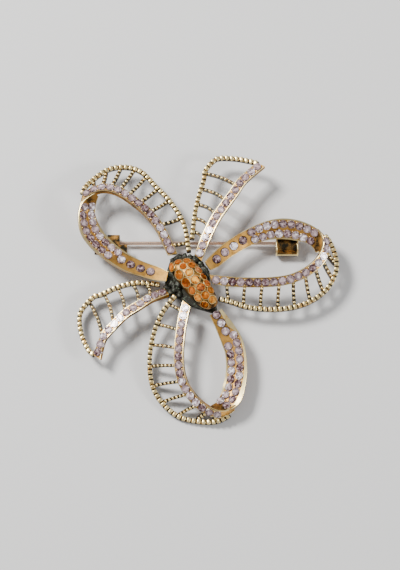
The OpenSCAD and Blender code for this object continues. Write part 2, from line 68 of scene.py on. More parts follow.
# Every ribbon is a row for each section: the rim's x, y, z, then the foot's x, y, z, in millimetres.
# The foot is the rail of a front leg and the lower edge of a back leg.
LEFT_FRONT = [
    (-8.7, 7.4, 5.8, -4.1, 8.2, 5.3), (-11.1, 12.7, 6.4, -5.2, 14.6, 4.7),
    (-13.5, 16.0, 6.9, -8.2, 19.8, 4.3), (-16.0, 18.2, 7.2, -11.2, 23.1, 4.1),
    (-18.6, 20.0, 7.4, -14.2, 26.3, 4.1), (-20.7, 21.0, 7.4, -17.5, 27.5, 4.1),
    (-22.9, 21.3, 7.3, -21.4, 27.0, 4.3), (-25.1, 20.6, 7.2, -24.8, 24.5, 4.8),
    (-26.8, 19.3, 7.1, -26.8, 22.0, 5.5), (-27.6, 17.9, 7.0, -27.6, 18.6, 4.9),
]
LEFT_BACK = [
    (-24.3, 20.8, 7.0, -23.5, 20.3, 6.2), (-26.7, 19.1, 7.0, -24.1, 18.7, 4.9),
    (-27.7, 16.5, 7.0, -24.2, 16.7, 4.2), (-27.5, 12.8, 6.8, -23.2, 14.2, 4.3),
    (-26.1, 10.1, 6.6, -21.8, 12.1, 4.4), (-23.7, 7.6, 6.4, -19.7, 10.0, 4.4),
    (-20.9, 5.5, 6.2, -17.5, 8.3, 4.4), (-17.7, 3.7, 6.1, -15.0, 6.8, 4.6),
    (-14.5, 2.6, 6.0, -12.6, 5.7, 4.9), (-11.5, 1.7, 6.0, -10.5, 4.8, 5.4),
    (-9.0, 1.4, 6.0, -8.5, 3.7, 5.8),
]
RIGHT_FRONT = [
    (0.3, 3.0, 5.8, 2.4, -2.2, 5.3), (4.7, 2.4, 6.3, 5.1, -2.8, 4.6), (9.0, 2.1, 6.7, 8.5, -3.8, 4.2),
    (12.8, 2.1, 6.9, 12.4, -4.2, 4.0), (16.5, 2.5, 7.0, 16.3, -4.1, 4.0),
    (19.2, 3.4, 7.1, 20.0, -3.3, 4.0), (21.6, 4.8, 7.1, 23.4, -1.6, 4.1),
    (23.4, 6.5, 7.1, 26.0, 0.9, 4.2), (24.5, 8.4, 7.1, 27.5, 4.3, 4.5), (24.8, 10.2, 7.0, 27.3, 7.4, 4.9),
    (24.3, 11.9, 6.9, 26.0, 10.6, 5.3), (23.2, 13.1, 6.8, 23.7, 13.4, 5.0),
]
RIGHT_BACK = [
    (24.2, 8.0, 7.0, 23.0, 7.9, 5.8), (24.6, 10.2, 7.0, 22.3, 9.4, 4.8),
    (23.6, 12.6, 6.9, 20.8, 10.5, 4.4), (21.2, 14.1, 6.9, 18.8, 10.9, 4.3),
    (18.4, 15.0, 6.8, 16.9, 11.2, 4.3), (15.4, 15.2, 6.7, 14.4, 11.2, 4.3),
    (12.4, 14.6, 6.6, 12.1, 10.8, 4.4), (9.4, 13.4, 6.4, 9.8, 10.0, 4.5), (6.4, 11.8, 6.3, 7.4, 8.7, 4.7),
    (3.4, 9.8, 6.1, 4.9, 7.0, 5.0), (0.6, 7.3, 5.9, 2.2, 4.8, 5.4), (-0.7, 5.9, 5.8, 0.6, 4.0, 5.6),
]
BOTTOM_FRONT = [
    (-3.8, -4.1, 5.9, -6.9, -1.4, 5.1), (-4.5, -7.3, 5.9, -9.6, -4.8, 4.3),
    (-5.0, -10.8, 5.8, -11.4, -8.9, 3.5), (-5.3, -14.3, 5.6, -12.3, -13.0, 2.8),
    (-5.1, -17.6, 5.3, -12.4, -17.4, 2.2), (-4.3, -20.6, 5.0, -11.6, -21.2, 1.5),
    (-2.8, -22.9, 4.6, -9.5, -24.4, 1.1), (-0.9, -24.9, 4.3, -6.2, -27.0, 0.8),
    (1.1, -26.3, 4.1, -2.4, -28.0, 0.7), (2.8, -26.5, 4.0, 1.2, -28.2, 1.1),
    (4.5, -26.2, 4.0, 3.6, -27.5, 1.9), (5.9, -25.2, 4.0, 5.7, -25.9, 2.2),
]
BOTTOM_BACK = [
    (0.3, -25.6, 4.1, 0.9, -24.9, 3.3), (1.8, -26.3, 4.0, 1.7, -24.2, 2.5),
    (3.6, -26.4, 4.0, 2.4, -23.0, 1.9), (5.4, -25.8, 4.0, 2.9, -21.8, 1.8),
    (6.9, -24.3, 4.1, 3.1, -20.6, 1.9), (7.8, -21.3, 4.3, 3.6, -18.7, 2.1),
    (8.2, -17.8, 4.6, 3.8, -16.4, 2.5), (8.0, -14.1, 4.9, 3.6, -13.8, 3.0),
    (7.2, -10.9, 5.2, 2.9, -11.8, 3.6), (5.7, -8.3, 5.5, 2.0, -9.5, 4.1),
    (4.3, -6.4, 5.7, 1.2, -7.7, 4.9), (2.9, -4.6, 5.8, 0.3, -6.0, 5.6),
]
TOP_TAIL = [
    (-1.3, 6.0, 5.7, -3.7, 8.3, 5.9), (-0.1, 9.2, 6.6, -3.3, 12.0, 5.8),
    (1.1, 12.0, 6.8, -3.0, 14.9, 5.5), (2.5, 14.8, 6.9, -2.6, 17.8, 5.2),
    (4.1, 17.2, 6.9, -1.9, 20.9, 5.0), (6.5, 20.6, 6.9, -0.9, 24.1, 4.9),
    (8.5, 23.5, 6.8, 0.3, 27.2, 4.9), (12.3, 27.0, 6.6, 9.0, 29.0, 5.6),
]
LEFT_TAIL = [
    (-8.3, -1.3, 5.8, -9.8, 1.1, 4.1), (-11.8, -2.8, 5.9, -13.4, 1.6, 4.0),
    (-14.3, -4.5, 5.8, -16.2, 1.5, 4.0), (-17.3, -6.4, 5.5, -19.4, 0.7, 3.7),
    (-19.8, -8.9, 5.2, -22.3, -0.6, 3.3), (-22.1, -11.7, 4.8, -25.3, -2.6, 2.9),
    (-23.0, -15.3, 4.3, -25.2, -13.5, 3.2),
]
# Where a tail's rail turns the corner and crosses the tail's open end, to the strip
TOP_TAIL_END = [(1.0, 28.5, 4.9), (2.6, 29.3, 4.9), (6.2, 29.1, 5.1), (9.2, 28.4, 5.5), (10.8, 27.8, 5.9)]
LEFT_TAIL_END = [
    (-27.0, -4.0, 2.7), (-27.5, -6.2, 2.7), (-27.0, -9.6, 2.8), (-25.6, -12.8, 3.1), (-24.3, -14.1, 3.5),
]

# Loop: front and back tables, stones in front, places of the rail's end, first rung and last rung,
# end of the two rows on the back leg, whether that leg has the wide bevel, and its rows of stones:
# offset, place of the first, count, step
LOOPS = {
    "left": dict(
        front=LEFT_FRONT, back=LEFT_BACK, stones=15,
        ladder=(8.3, 0.4, 7.0), pair_to=6.25, wide_bevel=False,
        rows=[(-1.1, 3.9, 8, 1.8), (1.1, 2.9, 8, 1.78), (0.0, 17.9, 4, 2.3)]),
    "right": dict(
        front=RIGHT_FRONT, back=RIGHT_BACK, stones=17,
        ladder=(10.4, 0.8, 8.4), pair_to=7.5, wide_bevel=False,
        rows=[(-1.1, 4.5, 9, 1.78), (1.1, 3.5, 8, 1.78), (0.0, 19.6, 4, 2.35)]),
    "bottom": dict(
        front=BOTTOM_FRONT, back=BOTTOM_BACK, stones=16,
        ladder=(10.4, 0.6, 9.0), pair_to=8.5, wide_bevel=True,
        rows=[(-1.02, 3.6, 10, 1.78), (1.02, 2.9, 8, 1.78), (0.0, 19.6, 3, 2.0)]),
}
# Tail: table, way its face turns, stones, places of the rail's start, first rung and last rung,
# and the open end
TAILS = {
    "top": dict(rows=TOP_TAIL, side=1, stones=14, ladder=(0.7, 1.2, 5.6), end=TOP_TAIL_END),
    "left": dict(rows=LEFT_TAIL, side=-1, stones=12, ladder=(0.2, 1.0, 5.0), end=LEFT_TAIL_END),
}
LOOP_RUNGS = 9
TAIL_RUNGS = 5
# Way that a loop's front strip faces
LOOP_SIDE = -1

# Knot in its own axes: u along it, v across it. It is flat along its lower side, narrows along its
# upper side, and leans at its upper left end. Its stones: u, v and width in millimetres
KNOT_CENTRE = (-2.57, 1.22)
KNOT_TURN = math.radians(-50.5)
KNOT_HALF = 6.6
KNOT_LOWER = 2.85
KNOT_UPPER = 2.5
KNOT_TAPER = 0.14
KNOT_LEAN = 0.35
KNOT_POWER = 3.0
KNOT_SEAT_Z = 4.5
KNOT_WALL = 0.9
KNOT_HEIGHT = 3.9
DOME_POWER = 2.6
KNOT_STONES = [
    (-5.75, -2.0, 1.7), (-3.2, -1.95, 1.95), (-0.9, -1.95, 1.95), (1.2, -2.05, 1.7), (3.2, -2.05, 1.7),
    (5.15, -1.85, 1.65), (-5.6, -0.35, 1.4), (-4.05, -0.2, 1.45), (-2.1, -0.1, 1.7), (0.0, -0.15, 1.8),
    (2.0, -0.3, 1.7), (3.9, -0.6, 1.65), (-4.6, 1.25, 1.4), (-3.1, 1.4, 1.5), (-1.35, 1.85, 1.5),
    (0.4, 1.75, 1.55), (2.05, 1.35, 1.5), (3.7, 1.0, 1.5), (5.4, 0.05, 1.6),
]


class BroochSizes(bpy.types.PropertyGroup):
    """Sizes of the ribbons, stones and beads"""
    strip_width: bpy.props.FloatProperty(
        name="Strip width", description="Width of a one-row jewelled strip",
        default=2.2 * MM, unit="LENGTH", precision=5)
    ribbon_thickness: bpy.props.FloatProperty(
        name="Ribbon thickness", description="Thickness of a cast ribbon",
        default=1.1 * MM, unit="LENGTH", precision=5)
    rim_width: bpy.props.FloatProperty(
        name="Rim width", description="Width of the rim beside the stones",
        default=0.2 * MM, unit="LENGTH", precision=5)
    stone_width: bpy.props.FloatProperty(
        name="Stone width", description="Diameter of a pale stone",
        default=1.72 * MM, unit="LENGTH", precision=5)
    stone_pitch: bpy.props.FloatProperty(
        name="Stone pitch", description="Distance between the stones of a strip",
        default=1.78 * MM, unit="LENGTH", precision=5)
    seat_width: bpy.props.FloatProperty(
        name="Seat width", description="Diameter of the hole that a stone sits in",
        default=1.8 * MM, unit="LENGTH", precision=5)
    lone_seat_width: bpy.props.FloatProperty(
        name="Lone seat width", description="Diameter of the seats near the knot",
        default=2.0 * MM, unit="LENGTH", precision=5)
    crown: bpy.props.FloatProperty(
        name="Crown", description="Height of a stone above its girdle",
        default=0.32 * MM, unit="LENGTH", precision=5)
    pavilion: bpy.props.FloatProperty(
        name="Pavilion", description="Depth of a stone below its girdle",
        default=0.38 * MM, unit="LENGTH", precision=5)
    grain_width: bpy.props.FloatProperty(
        name="Grain width", description="Diameter of a grain that holds the stones",
        default=0.38 * MM, unit="LENGTH", precision=5)
    block_pitch: bpy.props.FloatProperty(
        name="Block pitch", description="Distance between the blocks of a rail",
        default=1.07 * MM, unit="LENGTH", precision=5)
    block_width: bpy.props.FloatProperty(
        name="Block width", description="Width of a rail's blocks",
        default=1.0 * MM, unit="LENGTH", precision=5)
    bead_pitch: bpy.props.FloatProperty(
        name="Bead pitch", description="Distance between the beads of a rung",
        default=0.92 * MM, unit="LENGTH", precision=5)
    bead_width: bpy.props.FloatProperty(
        name="Bead width", description="Diameter of a rung's beads",
        default=0.72 * MM, unit="LENGTH", precision=5)


class BroochColours(bpy.types.PropertyGroup):
    """Colours of the metals, the stones and the floor"""
    rim: bpy.props.FloatVectorProperty(
        name="Rims", description="Polished rims and beads",
        subtype="COLOR", default=(1.0, 0.80, 0.38), min=0, max=1)
    plate: bpy.props.FloatVectorProperty(
        name="Plate", description="Warm gold between the stones",
        subtype="COLOR", default=(0.80, 0.43, 0.10), min=0, max=1)
    # Walls: gold darkened as painted shade on the ribbons' sides and backs, the legs' tips and the knot's
    # dome
    wall: bpy.props.FloatVectorProperty(
        name="Walls", description="Antiqued sides and backs",
        subtype="COLOR", default=(0.46, 0.23, 0.055), min=0, max=1)
    # Black-brown of the hollows: patina, deepened as painted shade in the gaps under beads and blocks
    patina_and_shade: bpy.props.FloatVectorProperty(
        name="Patina", description="Black-brown of the hollows",
        subtype="COLOR", default=(0.020, 0.018, 0.012), min=0, max=1)
    verdigris: bpy.props.FloatVectorProperty(
        name="Verdigris", description="Grey-green bloom at the hub",
        subtype="COLOR", default=(0.13, 0.17, 0.12), min=0, max=1)
    pin: bpy.props.FloatVectorProperty(
        name="Pin", description="Rosy gold of the pin wire",
        subtype="COLOR", default=(0.92, 0.66, 0.50), min=0, max=1)
    stone: bpy.props.FloatVectorProperty(
        name="Stones", description="Rose-grey of the stones",
        subtype="COLOR", default=(0.60, 0.44, 0.45), min=0, max=1)
    # Dark facets of the pale stones: painted reflection
    stone_dark: bpy.props.FloatVectorProperty(
        name="Dark facets", description="Plum of the stones' dark facets",
        subtype="COLOR", default=(0.12, 0.05, 0.055), min=0, max=1)
    amber: bpy.props.FloatVectorProperty(
        name="Amber", description="Orange of the knot's stones",
        subtype="COLOR", default=(0.82, 0.23, 0.01), min=0, max=1)
    # Dark facets of the amber stones: painted reflection
    amber_dark: bpy.props.FloatVectorProperty(
        name="Dark amber", description="Brown of their dark facets",
        subtype="COLOR", default=(0.20, 0.035, 0.004), min=0, max=1)
    floor: bpy.props.FloatVectorProperty(
        name="Floor", description="Pale studio floor",
        subtype="COLOR", default=(0.78, 0.77, 0.75), min=0, max=1)


class BroochStudio(bpy.types.PropertyGroup):
    """Camera and lights"""
    elevation: bpy.props.FloatProperty(
        name="Elevation", description="Camera's height above the horizon",
        default=math.radians(75), subtype="ANGLE")
    distance: bpy.props.FloatProperty(
        name="Distance", description="Camera's distance from the knot",
        default=0.6, unit="LENGTH")
    view_width: bpy.props.FloatProperty(
        name="View width", description="Width that the frame covers at the knot",
        default=85.5 * MM, unit="LENGTH", precision=5)
    key_power: bpy.props.FloatProperty(
        name="Key light", description="Power of the soft light at the upper left",
        default=4.6, unit="POWER")


# Studio: where the key and the fill light stand, how wide they are, and the fill's share of the power
KEY_PLACE = (-0.28, 0.22, 0.42)
KEY_SIZE = 0.14
FILL_PLACE = (0.40, -0.1, 0.30)
FILL_SIZE = 0.12
FILL_SHARE = 0.25
ROOM_COLOUR = (0.93, 0.95, 1.0, 1.0)
ROOM_STRENGTH = 0.42
FLOOR_SIZE = 1.2
CLIP_START = 0.01

# Photograph's frame, and the pixel where the middle of the drawn bow lies, 5 mm above the floor
FRAME_WIDE = 400
FRAME_HIGH = 570
BOW_PIXEL = (208, 289)
BOW_HEIGHT = 5 * MM


def in_metres(rows):
    """A table of places in millimetres, as vectors in the frame."""
    return [[(Vector(row[i:i + 3]) + BOW_SHIFT) * MM for i in range(0, len(row), 3)] for row in rows]


def spline(rows, t):
    """Places on the smooth curves through a table's rows, at t from 0 to its last row."""
    i = max(0, min(int(t), len(rows) - 2))
    u = t - i
    picked = zip(rows[max(i - 1, 0)], rows[i], rows[i + 1], rows[min(i + 2, len(rows) - 1)])
    return [
        0.5 * (2 * b + (c - a) * u + (2 * a - 5 * b + 4 * c - d) * u ** 2 + (3 * b - a - 3 * c + d) * u ** 3)
        for a, b, c, d in picked
    ]


# Step along a table, in rows, over which directions are measured
LOOK = 0.05


class Section:
    """Cross-section of a ribbon: origin on its rim, and its across, normal and along directions."""

    def __init__(self, rows, t, side):
        self.rim, foot = spline(rows, t)
        before = spline(rows, max(t - LOOK, 0))
        after = spline(rows, min(t + LOOK, len(rows) - 1))
        self.width = (foot - self.rim).length
        self.along = (after[0] + after[1] - before[0] - before[1]).normalized()
        self.across = (foot - self.rim).normalized()
        self.normal = (side * self.along.cross(self.across)).normalized()

    def at(self, d, h):
        return self.rim + self.across * d + self.normal * h


class Route:
    """A curve sampled finely, so that places on it are found by the distance along it."""
    SAMPLES = 240

    def __init__(self, point_at, start, end):
        self.ts = [start + (end - start) * i / self.SAMPLES for i in range(self.SAMPLES + 1)]
        points = [point_at(t) for t in self.ts]
        self.run = [0.0]
        for a, b in zip(points, points[1:]):
            self.run.append(self.run[-1] + (b - a).length)
        self.length = self.run[-1]

    def t(self, distance):
        for i in range(1, len(self.run)):
            if self.run[i] >= distance:
                share = (distance - self.run[i - 1]) / max(self.run[i] - self.run[i - 1], 1e-12)
                return self.ts[i - 1] + share * (self.ts[i] - self.ts[i - 1])
        return self.ts[-1]

    def even(self, count):
        """count + 1 places at equal distances, both ends included."""
        return [self.t(self.length * i / count) for i in range(count + 1)]


def clamp(x, low, high):
    return max(low, min(high, x))


def standing(origin, x, y, z):
    """Matrix that puts a shape's own axes on x, y and z, at origin."""
    return Matrix.Translation(origin) @ Matrix((x, y, z)).transposed().to_4x4()


def start_fresh():
    """Leaves nothing selected, so that an operator acts only on what is made next."""
    if bpy.context.object and bpy.context.object.mode != "OBJECT":
        bpy.ops.object.mode_set(mode="OBJECT")
    bpy.ops.object.select_all(action="DESELECT")


def begin(name):
    """Names the new primitive, brings its place into its mesh, and opens it in edit mode."""
    piece = bpy.context.object
    piece.name = name
    bpy.ops.object.transform_apply(location=True, rotation=True, scale=True)
    bpy.ops.object.mode_set(mode="EDIT")
    return piece


def close_up(piece, angle=35):
    """Turns all faces outwards, leaves edit mode and smooths across the shallow edges."""
    bpy.ops.mesh.select_all(action="SELECT")
    bpy.ops.mesh.normals_make_consistent(inside=False)
    bpy.ops.object.mode_set(mode="OBJECT")
    bpy.ops.object.shade_smooth_by_angle(angle=math.radians(angle))
    return piece


# Slots of a ribbon's materials; the wall's gold is darkened as painted shade
RIM, PLATE, WALL, HOLLOW = range(4)
RIBBON_FINISHES = ("rim_gold", "plate_gold", "wall_shade_gold", "patina_and_shade")


def drawn_out(name, rings, sides=None, angle=35, painted_shade_rings=0):
    """Solid drawn out ring by ring: a filled circle, extruded and shaped to each ring in turn.

    sides gives the material slot of each side of the outline, in the order of a ring's points.
    The plate of the first rings, as many of them as the shade count says, takes the wall's finish as painted
    shade.
    """
    start_fresh()
    count = len(rings[0])
    bpy.ops.mesh.primitive_circle_add(vertices=count, radius=MM, fill_type="NGON")
    piece = begin(name)
    mesh = bmesh.from_edit_mesh(piece.data)
    place = mesh.verts.layers.int.new("place")
    turn = mesh.verts.layers.int.new("turn")
    for i, vertex in enumerate(mesh.verts):
        vertex[place] = i
    for number, ring in enumerate(rings):
        if number:
            bpy.ops.mesh.extrude_region_move()
            mesh = bmesh.from_edit_mesh(piece.data)
            place = mesh.verts.layers.int["place"]
            turn = mesh.verts.layers.int["turn"]
        for vertex in mesh.verts:
            if vertex.select:
                vertex.co = ring[vertex[place]]
                vertex[turn] = number
        bmesh.update_edit_mesh(piece.data)
    if sides:
        for face in mesh.faces:
            places = sorted({vertex[place] for vertex in face.verts})
            if len(places) == 2:
                wraps = places == [0, count - 1]
                finish = sides[places[1] if wraps else places[0]]
                # The plate at the tip takes the wall's finish: painted shade
                in_painted_shade = finish == PLATE and max(vertex[turn] for vertex in face.verts) <= painted_shade_rings
                face.material_index = WALL if in_painted_shade else finish
        bmesh.update_edit_mesh(piece.data)
    return close_up(piece, angle)


def joined(name, pieces):
    """Makes one piece of several, which keep their materials."""
    start_fresh()
    for piece in pieces:
        piece.select_set(True)
    bpy.context.view_layer.objects.active = pieces[0]
    if len(pieces) > 1:
        bpy.ops.object.join()
    pieces[0].name = name
    pieces[0].data.name = name
    return pieces[0]


def stamped(name, pattern, places):
    """Copies of a pattern, each with its own mesh, one at each place and all in one piece."""
    copies = []
    for place in places:
        copy = pattern.copy()
        copy.data = pattern.data.copy()
        copy.data.transform(place)
        bpy.context.collection.objects.link(copy)
        copies.append(copy)
    return joined(name, copies)


def scrap(*pieces):
    """Removes patterns and cutters that have done their work."""
    for piece in pieces:
        bpy.data.objects.remove(piece)


def drilled(piece, cutters):
    """Cuts the cutters' shapes out of a piece."""
    start_fresh()
    piece.select_set(True)
    bpy.context.view_layer.objects.active = piece
    cut = piece.modifiers.new("seats", "BOOLEAN")
    cut.operation = "DIFFERENCE"
    cut.solver = "MANIFOLD"
    cut.object = cutters
    bpy.ops.object.modifier_apply(modifier=cut.name)
    scrap(cutters)
    return piece


class Wire:
    """A socket's value in a material. Arithmetic on it adds Math nodes."""

    def __init__(self, shader, socket):
        self.shader = shader
        self.socket = socket

    def _math(self, operation, a, b):
        return self.shader.add("ShaderNodeMath", {"operation": operation}, {0: a, 1: b})

    def __add__(self, other):
        return self._math("ADD", self, other)

    def __radd__(self, other):
        return self._math("ADD", other, self)

    def __mul__(self, other):
        return self._math("MULTIPLY", self, other)

    def __rmul__(self, other):
        return self._math("MULTIPLY", other, self)


class Shader:
    """Node tree of one material, ended by a Principled shader."""

    def __init__(self, name):
        self.material = bpy.data.materials.new(name)
        self.material.use_nodes = True
        self.tree = self.material.node_tree
        self.tree.nodes.clear()
        self.where = self.add("ShaderNodeTexCoord", output="Object")
        self.surface = self.tree.nodes.new("ShaderNodeBsdfPrincipled")
        end = self.tree.nodes.new("ShaderNodeOutputMaterial")
        self.tree.links.new(self.surface.outputs[0], end.inputs[0])

    def feed(self, socket, value):
        """Links a wire to a socket, or sets the socket's own value."""
        if isinstance(value, Wire):
            self.tree.links.new(value.socket, socket)
        elif hasattr(value, "__len__") and len(socket.default_value) == 4:
            socket.default_value = (*value[:3], 1.0)
        else:
            socket.default_value = value

    def add(self, kind, settings=None, inputs=None, output=0):
        """Adds a node of any type: its settings first, then the values or links of its sockets."""
        node = self.tree.nodes.new(kind)
        for name, value in (settings or {}).items():
            if name == "stops":
                self.set_stops(node.color_ramp, value)
            else:
                setattr(node, name, value)
        for name, value in (inputs or {}).items():
            self.feed(node.inputs[name], value)
        return Wire(self, node.outputs[output])

    def set_stops(self, ramp, stops):
        while len(ramp.elements) < len(stops):
            ramp.elements.new(1.0)
        for element, (position, colour) in zip(ramp.elements, stops):
            element.position = position
            shade = colour[:3] if hasattr(colour, "__len__") else (colour, colour, colour)
            element.color = (*shade, 1.0)

    def ramp(self, value, *stops):
        return self.add("ShaderNodeValToRGB", {"stops": stops}, {"Fac": value})

    def noise(self, size, detail=2.0, rough=0.5):
        """Noise whose features are about size across, in metres."""
        inputs = {"Vector": self.where, "Scale": 1.0 / size, "Detail": detail, "Roughness": rough}
        return self.add("ShaderNodeTexNoise", None, inputs, "Fac")

    def mix(self, share, a, b):
        """Colour a where share is 0 and colour b where it is 1."""
        return self.add("ShaderNodeMix", {"data_type": "RGBA"}, {0: share, 6: a, 7: b}, 2)

    def bump(self, height, strength, distance):
        inputs = {"Height": height, "Strength": strength, "Distance": distance}
        return self.add("ShaderNodeBump", None, inputs)

    def finish(self, **sockets):
        for name, value in sockets.items():
            self.feed(self.surface.inputs[name.replace("_", " ")], value)
        return self.material


# Size of what each finish shows: clouds of tarnish, cast grain, crust, painted glints in a stone, paper's
# tooth
CLOUD_SIZE = 1.7 * MM
CAST_SIZE = 0.16 * MM
CRUST_SIZE = 0.3 * MM
GLINT_SIZE = 0.34 * MM
TOOTH_SIZE = 0.8 * MM
# Step that sorts a stone's facets by the way they face, so that each gets a painted reflection of its own
FACING_STEP = (0.07, 0.07, 0.07)
# Tones of the facets that are painted dark as reflection, that start and end the stone's own colour, and that
# are painted white as glints
DARK_TONE, COLOUR_FROM, COLOUR_TO, WHITE_TONE = 0.2, 0.4, 0.64, 0.76
# Tones at which the facets start to glow and glow fully, as painted sparkle
SPARKLE_FROM, SPARKLE_FULL = 0.72, 0.8
BLACK = (0.0, 0.0, 0.0)


def metal(name, colour, tarnish, cover, roughness):
    """Gold-toned metal, clouded with tarnish over a share of its surface, with a fine cast grain."""
    shader = Shader(name)
    clouds = shader.noise(CLOUD_SIZE, detail=4.0)
    grain = shader.noise(CAST_SIZE)
    mask = shader.ramp(clouds * 0.7 + grain * 0.3, (0.62 - cover * 0.3, 0.0), (0.72 - cover * 0.2, 1.0))
    shader.surface.inputs["Metallic"].default_value = 1.0
    return shader.finish(
        Base_Color=shader.mix(mask, colour, tarnish),
        Roughness=grain * 0.2 + roughness,
        Normal=shader.bump(grain, 0.25, 0.04 * MM))


def hollow(name, colour, bloom):
    """Blackened hollow: near-black, with specks of grey-green bloom and a rough, crusted surface."""
    shader = Shader(name)
    crust = shader.noise(CRUST_SIZE, detail=3.0)
    specks = shader.ramp(crust, (0.56, 0.0), (0.68, 1.0))
    shader.surface.inputs["Metallic"].default_value = 0.6
    return shader.finish(
        Base_Color=shader.mix(specks, colour, bloom),
        Roughness=crust * 0.3 + 0.35,
        Normal=shader.bump(crust, 0.5, 0.06 * MM))


def cut_glass(name, light, dark, white, painted_glow):
    """Foiled glass with painted reflections: every facet has a painted tone of its own, broken up by the
    facets seen through it, and the brightest glow as painted glints.
    """
    shader = Shader(name)
    facing = shader.add("ShaderNodeNewGeometry", output="True Normal")
    snapped = shader.add("ShaderNodeVectorMath", {"operation": "SNAP"}, {0: facing, 1: FACING_STEP})
    facet = shader.add("ShaderNodeTexWhiteNoise", {"noise_dimensions": "3D"}, {"Vector": snapped}, "Value")
    cells = {"Vector": shader.where, "Scale": 1 / GLINT_SIZE}
    painted_glint = shader.add("ShaderNodeTexVoronoi", None, cells, "Color")
    # Painted reflections and glints: each facet's tone comes from the way it faces and from the cells
    reflection_tone = facet * 0.5 + painted_glint * 0.5
    colour = shader.ramp(
        reflection_tone, (DARK_TONE, dark), (COLOUR_FROM, light), (COLOUR_TO, light), (WHITE_TONE, white))
    # Painted sparkle: white where the tone is highest
    painted_sparkle = shader.ramp(reflection_tone, (SPARKLE_FROM, BLACK), (SPARKLE_FULL, white))
    shader.surface.inputs["Metallic"].default_value = 0.1
    shader.surface.inputs["Coat Weight"].default_value = 1.0
    # Emission makes the brightest facets glow as painted sparkle, though the stone is no lamp
    shader.surface.inputs["Emission Strength"].default_value = painted_glow
    return shader.finish(Base_Color=colour, Roughness=painted_glint * 0.1 + 0.05, Emission_Color=painted_sparkle)


def studio_paper(name, colour):
    """Pale paper with a faint tooth."""
    shader = Shader(name)
    tooth = shader.noise(TOOTH_SIZE, detail=3.0)
    shade = shader.mix(tooth, [c * 0.97 for c in colour], colour)
    return shader.finish(
        Base_Color=shade,
        Roughness=tooth * 0.2 + 0.7,
        Normal=shader.bump(tooth, 0.1, 0.05 * MM))


def finishes(colours):
    """Makes every material of the brooch and the studio."""
    # Colours of the painted glints in the pale and the amber stones
    white_glint = (0.95, 0.90, 0.92)
    yellow_glint = (1.0, 0.50, 0.06)
    metal("rim_gold", colours.rim, colours.plate, cover=0.25, roughness=0.22)
    metal("plate_gold", colours.plate, colours.wall, cover=0.45, roughness=0.3)
    # Gold darkened as painted shade on sides and backs, clouded with tarnish
    metal("wall_shade_gold", colours.wall, colours.patina_and_shade, cover=0.55, roughness=0.35)
    metal("pin_gold", colours.pin, colours.plate, cover=0.1, roughness=0.2)
    # Near-black gold of the hinge and the catch
    metal("near_black_gold", colours.wall, colours.patina_and_shade, cover=0.95, roughness=0.3)
    # Black of the hollows and gaps: patina and painted shade
    hollow("patina_and_shade", colours.patina_and_shade, colours.wall)
    hollow("verdigris", colours.patina_and_shade, colours.verdigris)
    # Stones: painted reflections, glints and glow over their own colours
    cut_glass("pale_glass", colours.stone, colours.stone_dark, white_glint, painted_glow=0.45)
    cut_glass("amber_glass", colours.amber, colours.amber_dark, yellow_glint, painted_glow=0.15)
    studio_paper("studio_paper", colours.floor)


def painted(piece, *names):
    """Gives a piece its materials, in the order of its slots."""
    if piece.data.materials:
        piece.data.materials.clear()
    for name in names:
        piece.data.materials.append(bpy.data.materials[name])
    return piece


# Turn from one stone to the next, so that no two beside each other lie alike
GOLDEN_TURN = math.radians(137.5)
# Cut of a stone: sides of its drum, facets in a row, and its girdle's edge as a share of its width
DRUM_SIDES = 16
ROW_FACETS = 8
GIRDLE_SHARE = 0.01875
# Ends of the cuts, as shares of the radius, and the height of the upper row's start in the crown
BEZEL_END = 0.58
STAR_START = 0.78
STAR_END = 0.54
STAR_HEIGHT = 0.6
CULET_END = 0.06


def cut_stone(name, width, crown, pavilion, finish):
    """Round cut stone, ground from a drum: one flat cut for each facet."""
    radius = width / 2
    girdle = GIRDLE_SHARE * width
    start_fresh()
    bpy.ops.mesh.primitive_cylinder_add(
        vertices=DRUM_SIDES, radius=radius, depth=crown + pavilion,
        location=(0, 0, (crown - pavilion) / 2))
    stone = begin(name)
    # Rows of facets: turn, and the place, from the axis and above the girdle, where a cut starts and ends
    for turn, start, end in (
        (0.0, (radius, girdle), (BEZEL_END * radius, crown)),
        (math.pi / ROW_FACETS, (STAR_START * radius, STAR_HEIGHT * crown), (STAR_END * radius, crown)),
        (0.0, (radius, -girdle), (CULET_END * radius, -pavilion)),
    ):
        for i in range(ROW_FACETS):
            angle = turn + 2 * math.pi * i / ROW_FACETS
            way = Vector((math.cos(angle), math.sin(angle), 0))
            slope = Vector((0, 0, math.copysign(start[0] - end[0], end[1])))
            normal = way * abs(end[1] - start[1]) + slope
            bpy.ops.mesh.select_all(action="SELECT")
            bpy.ops.mesh.bisect(
                plane_co=way * start[0] + Vector((0, 0, start[1])), plane_no=normal,
                use_fill=True, clear_outer=True)
    bpy.ops.mesh.select_all(action="SELECT")
    bpy.ops.mesh.normals_make_consistent(inside=False)
    bpy.ops.object.mode_set(mode="OBJECT")
    return painted(stone, finish)


def seat_cutter(width, depth, above=0.5 * MM):
    """Drill for a stone's seat, with its end below the seat's floor."""
    start_fresh()
    bpy.ops.mesh.primitive_cylinder_add(
        vertices=16, radius=width / 2, depth=depth + above, location=(0, 0, (above - depth) / 2))
    drill = begin("seat_cutter")
    bpy.ops.object.mode_set(mode="OBJECT")
    return painted(drill, "patina_and_shade")


def grain(width):
    """Small bead that holds a stone's edge."""
    start_fresh()
    bpy.ops.mesh.primitive_uv_sphere_add(segments=8, ring_count=5, radius=width / 2)
    bead = begin("grain")
    bpy.ops.transform.resize(value=(1, 1, 1.15))
    return painted(close_up(bead, 60), "rim_gold")


def rung_bead(width):
    """Round bead of a rung, flattened on top by wear."""
    start_fresh()
    bpy.ops.mesh.primitive_uv_sphere_add(segments=10, ring_count=6, radius=width / 2)
    bead = begin("rung_bead")
    bpy.ops.transform.resize(value=(1, 0.84, 0.8))
    return painted(close_up(bead, 60), "rim_gold")


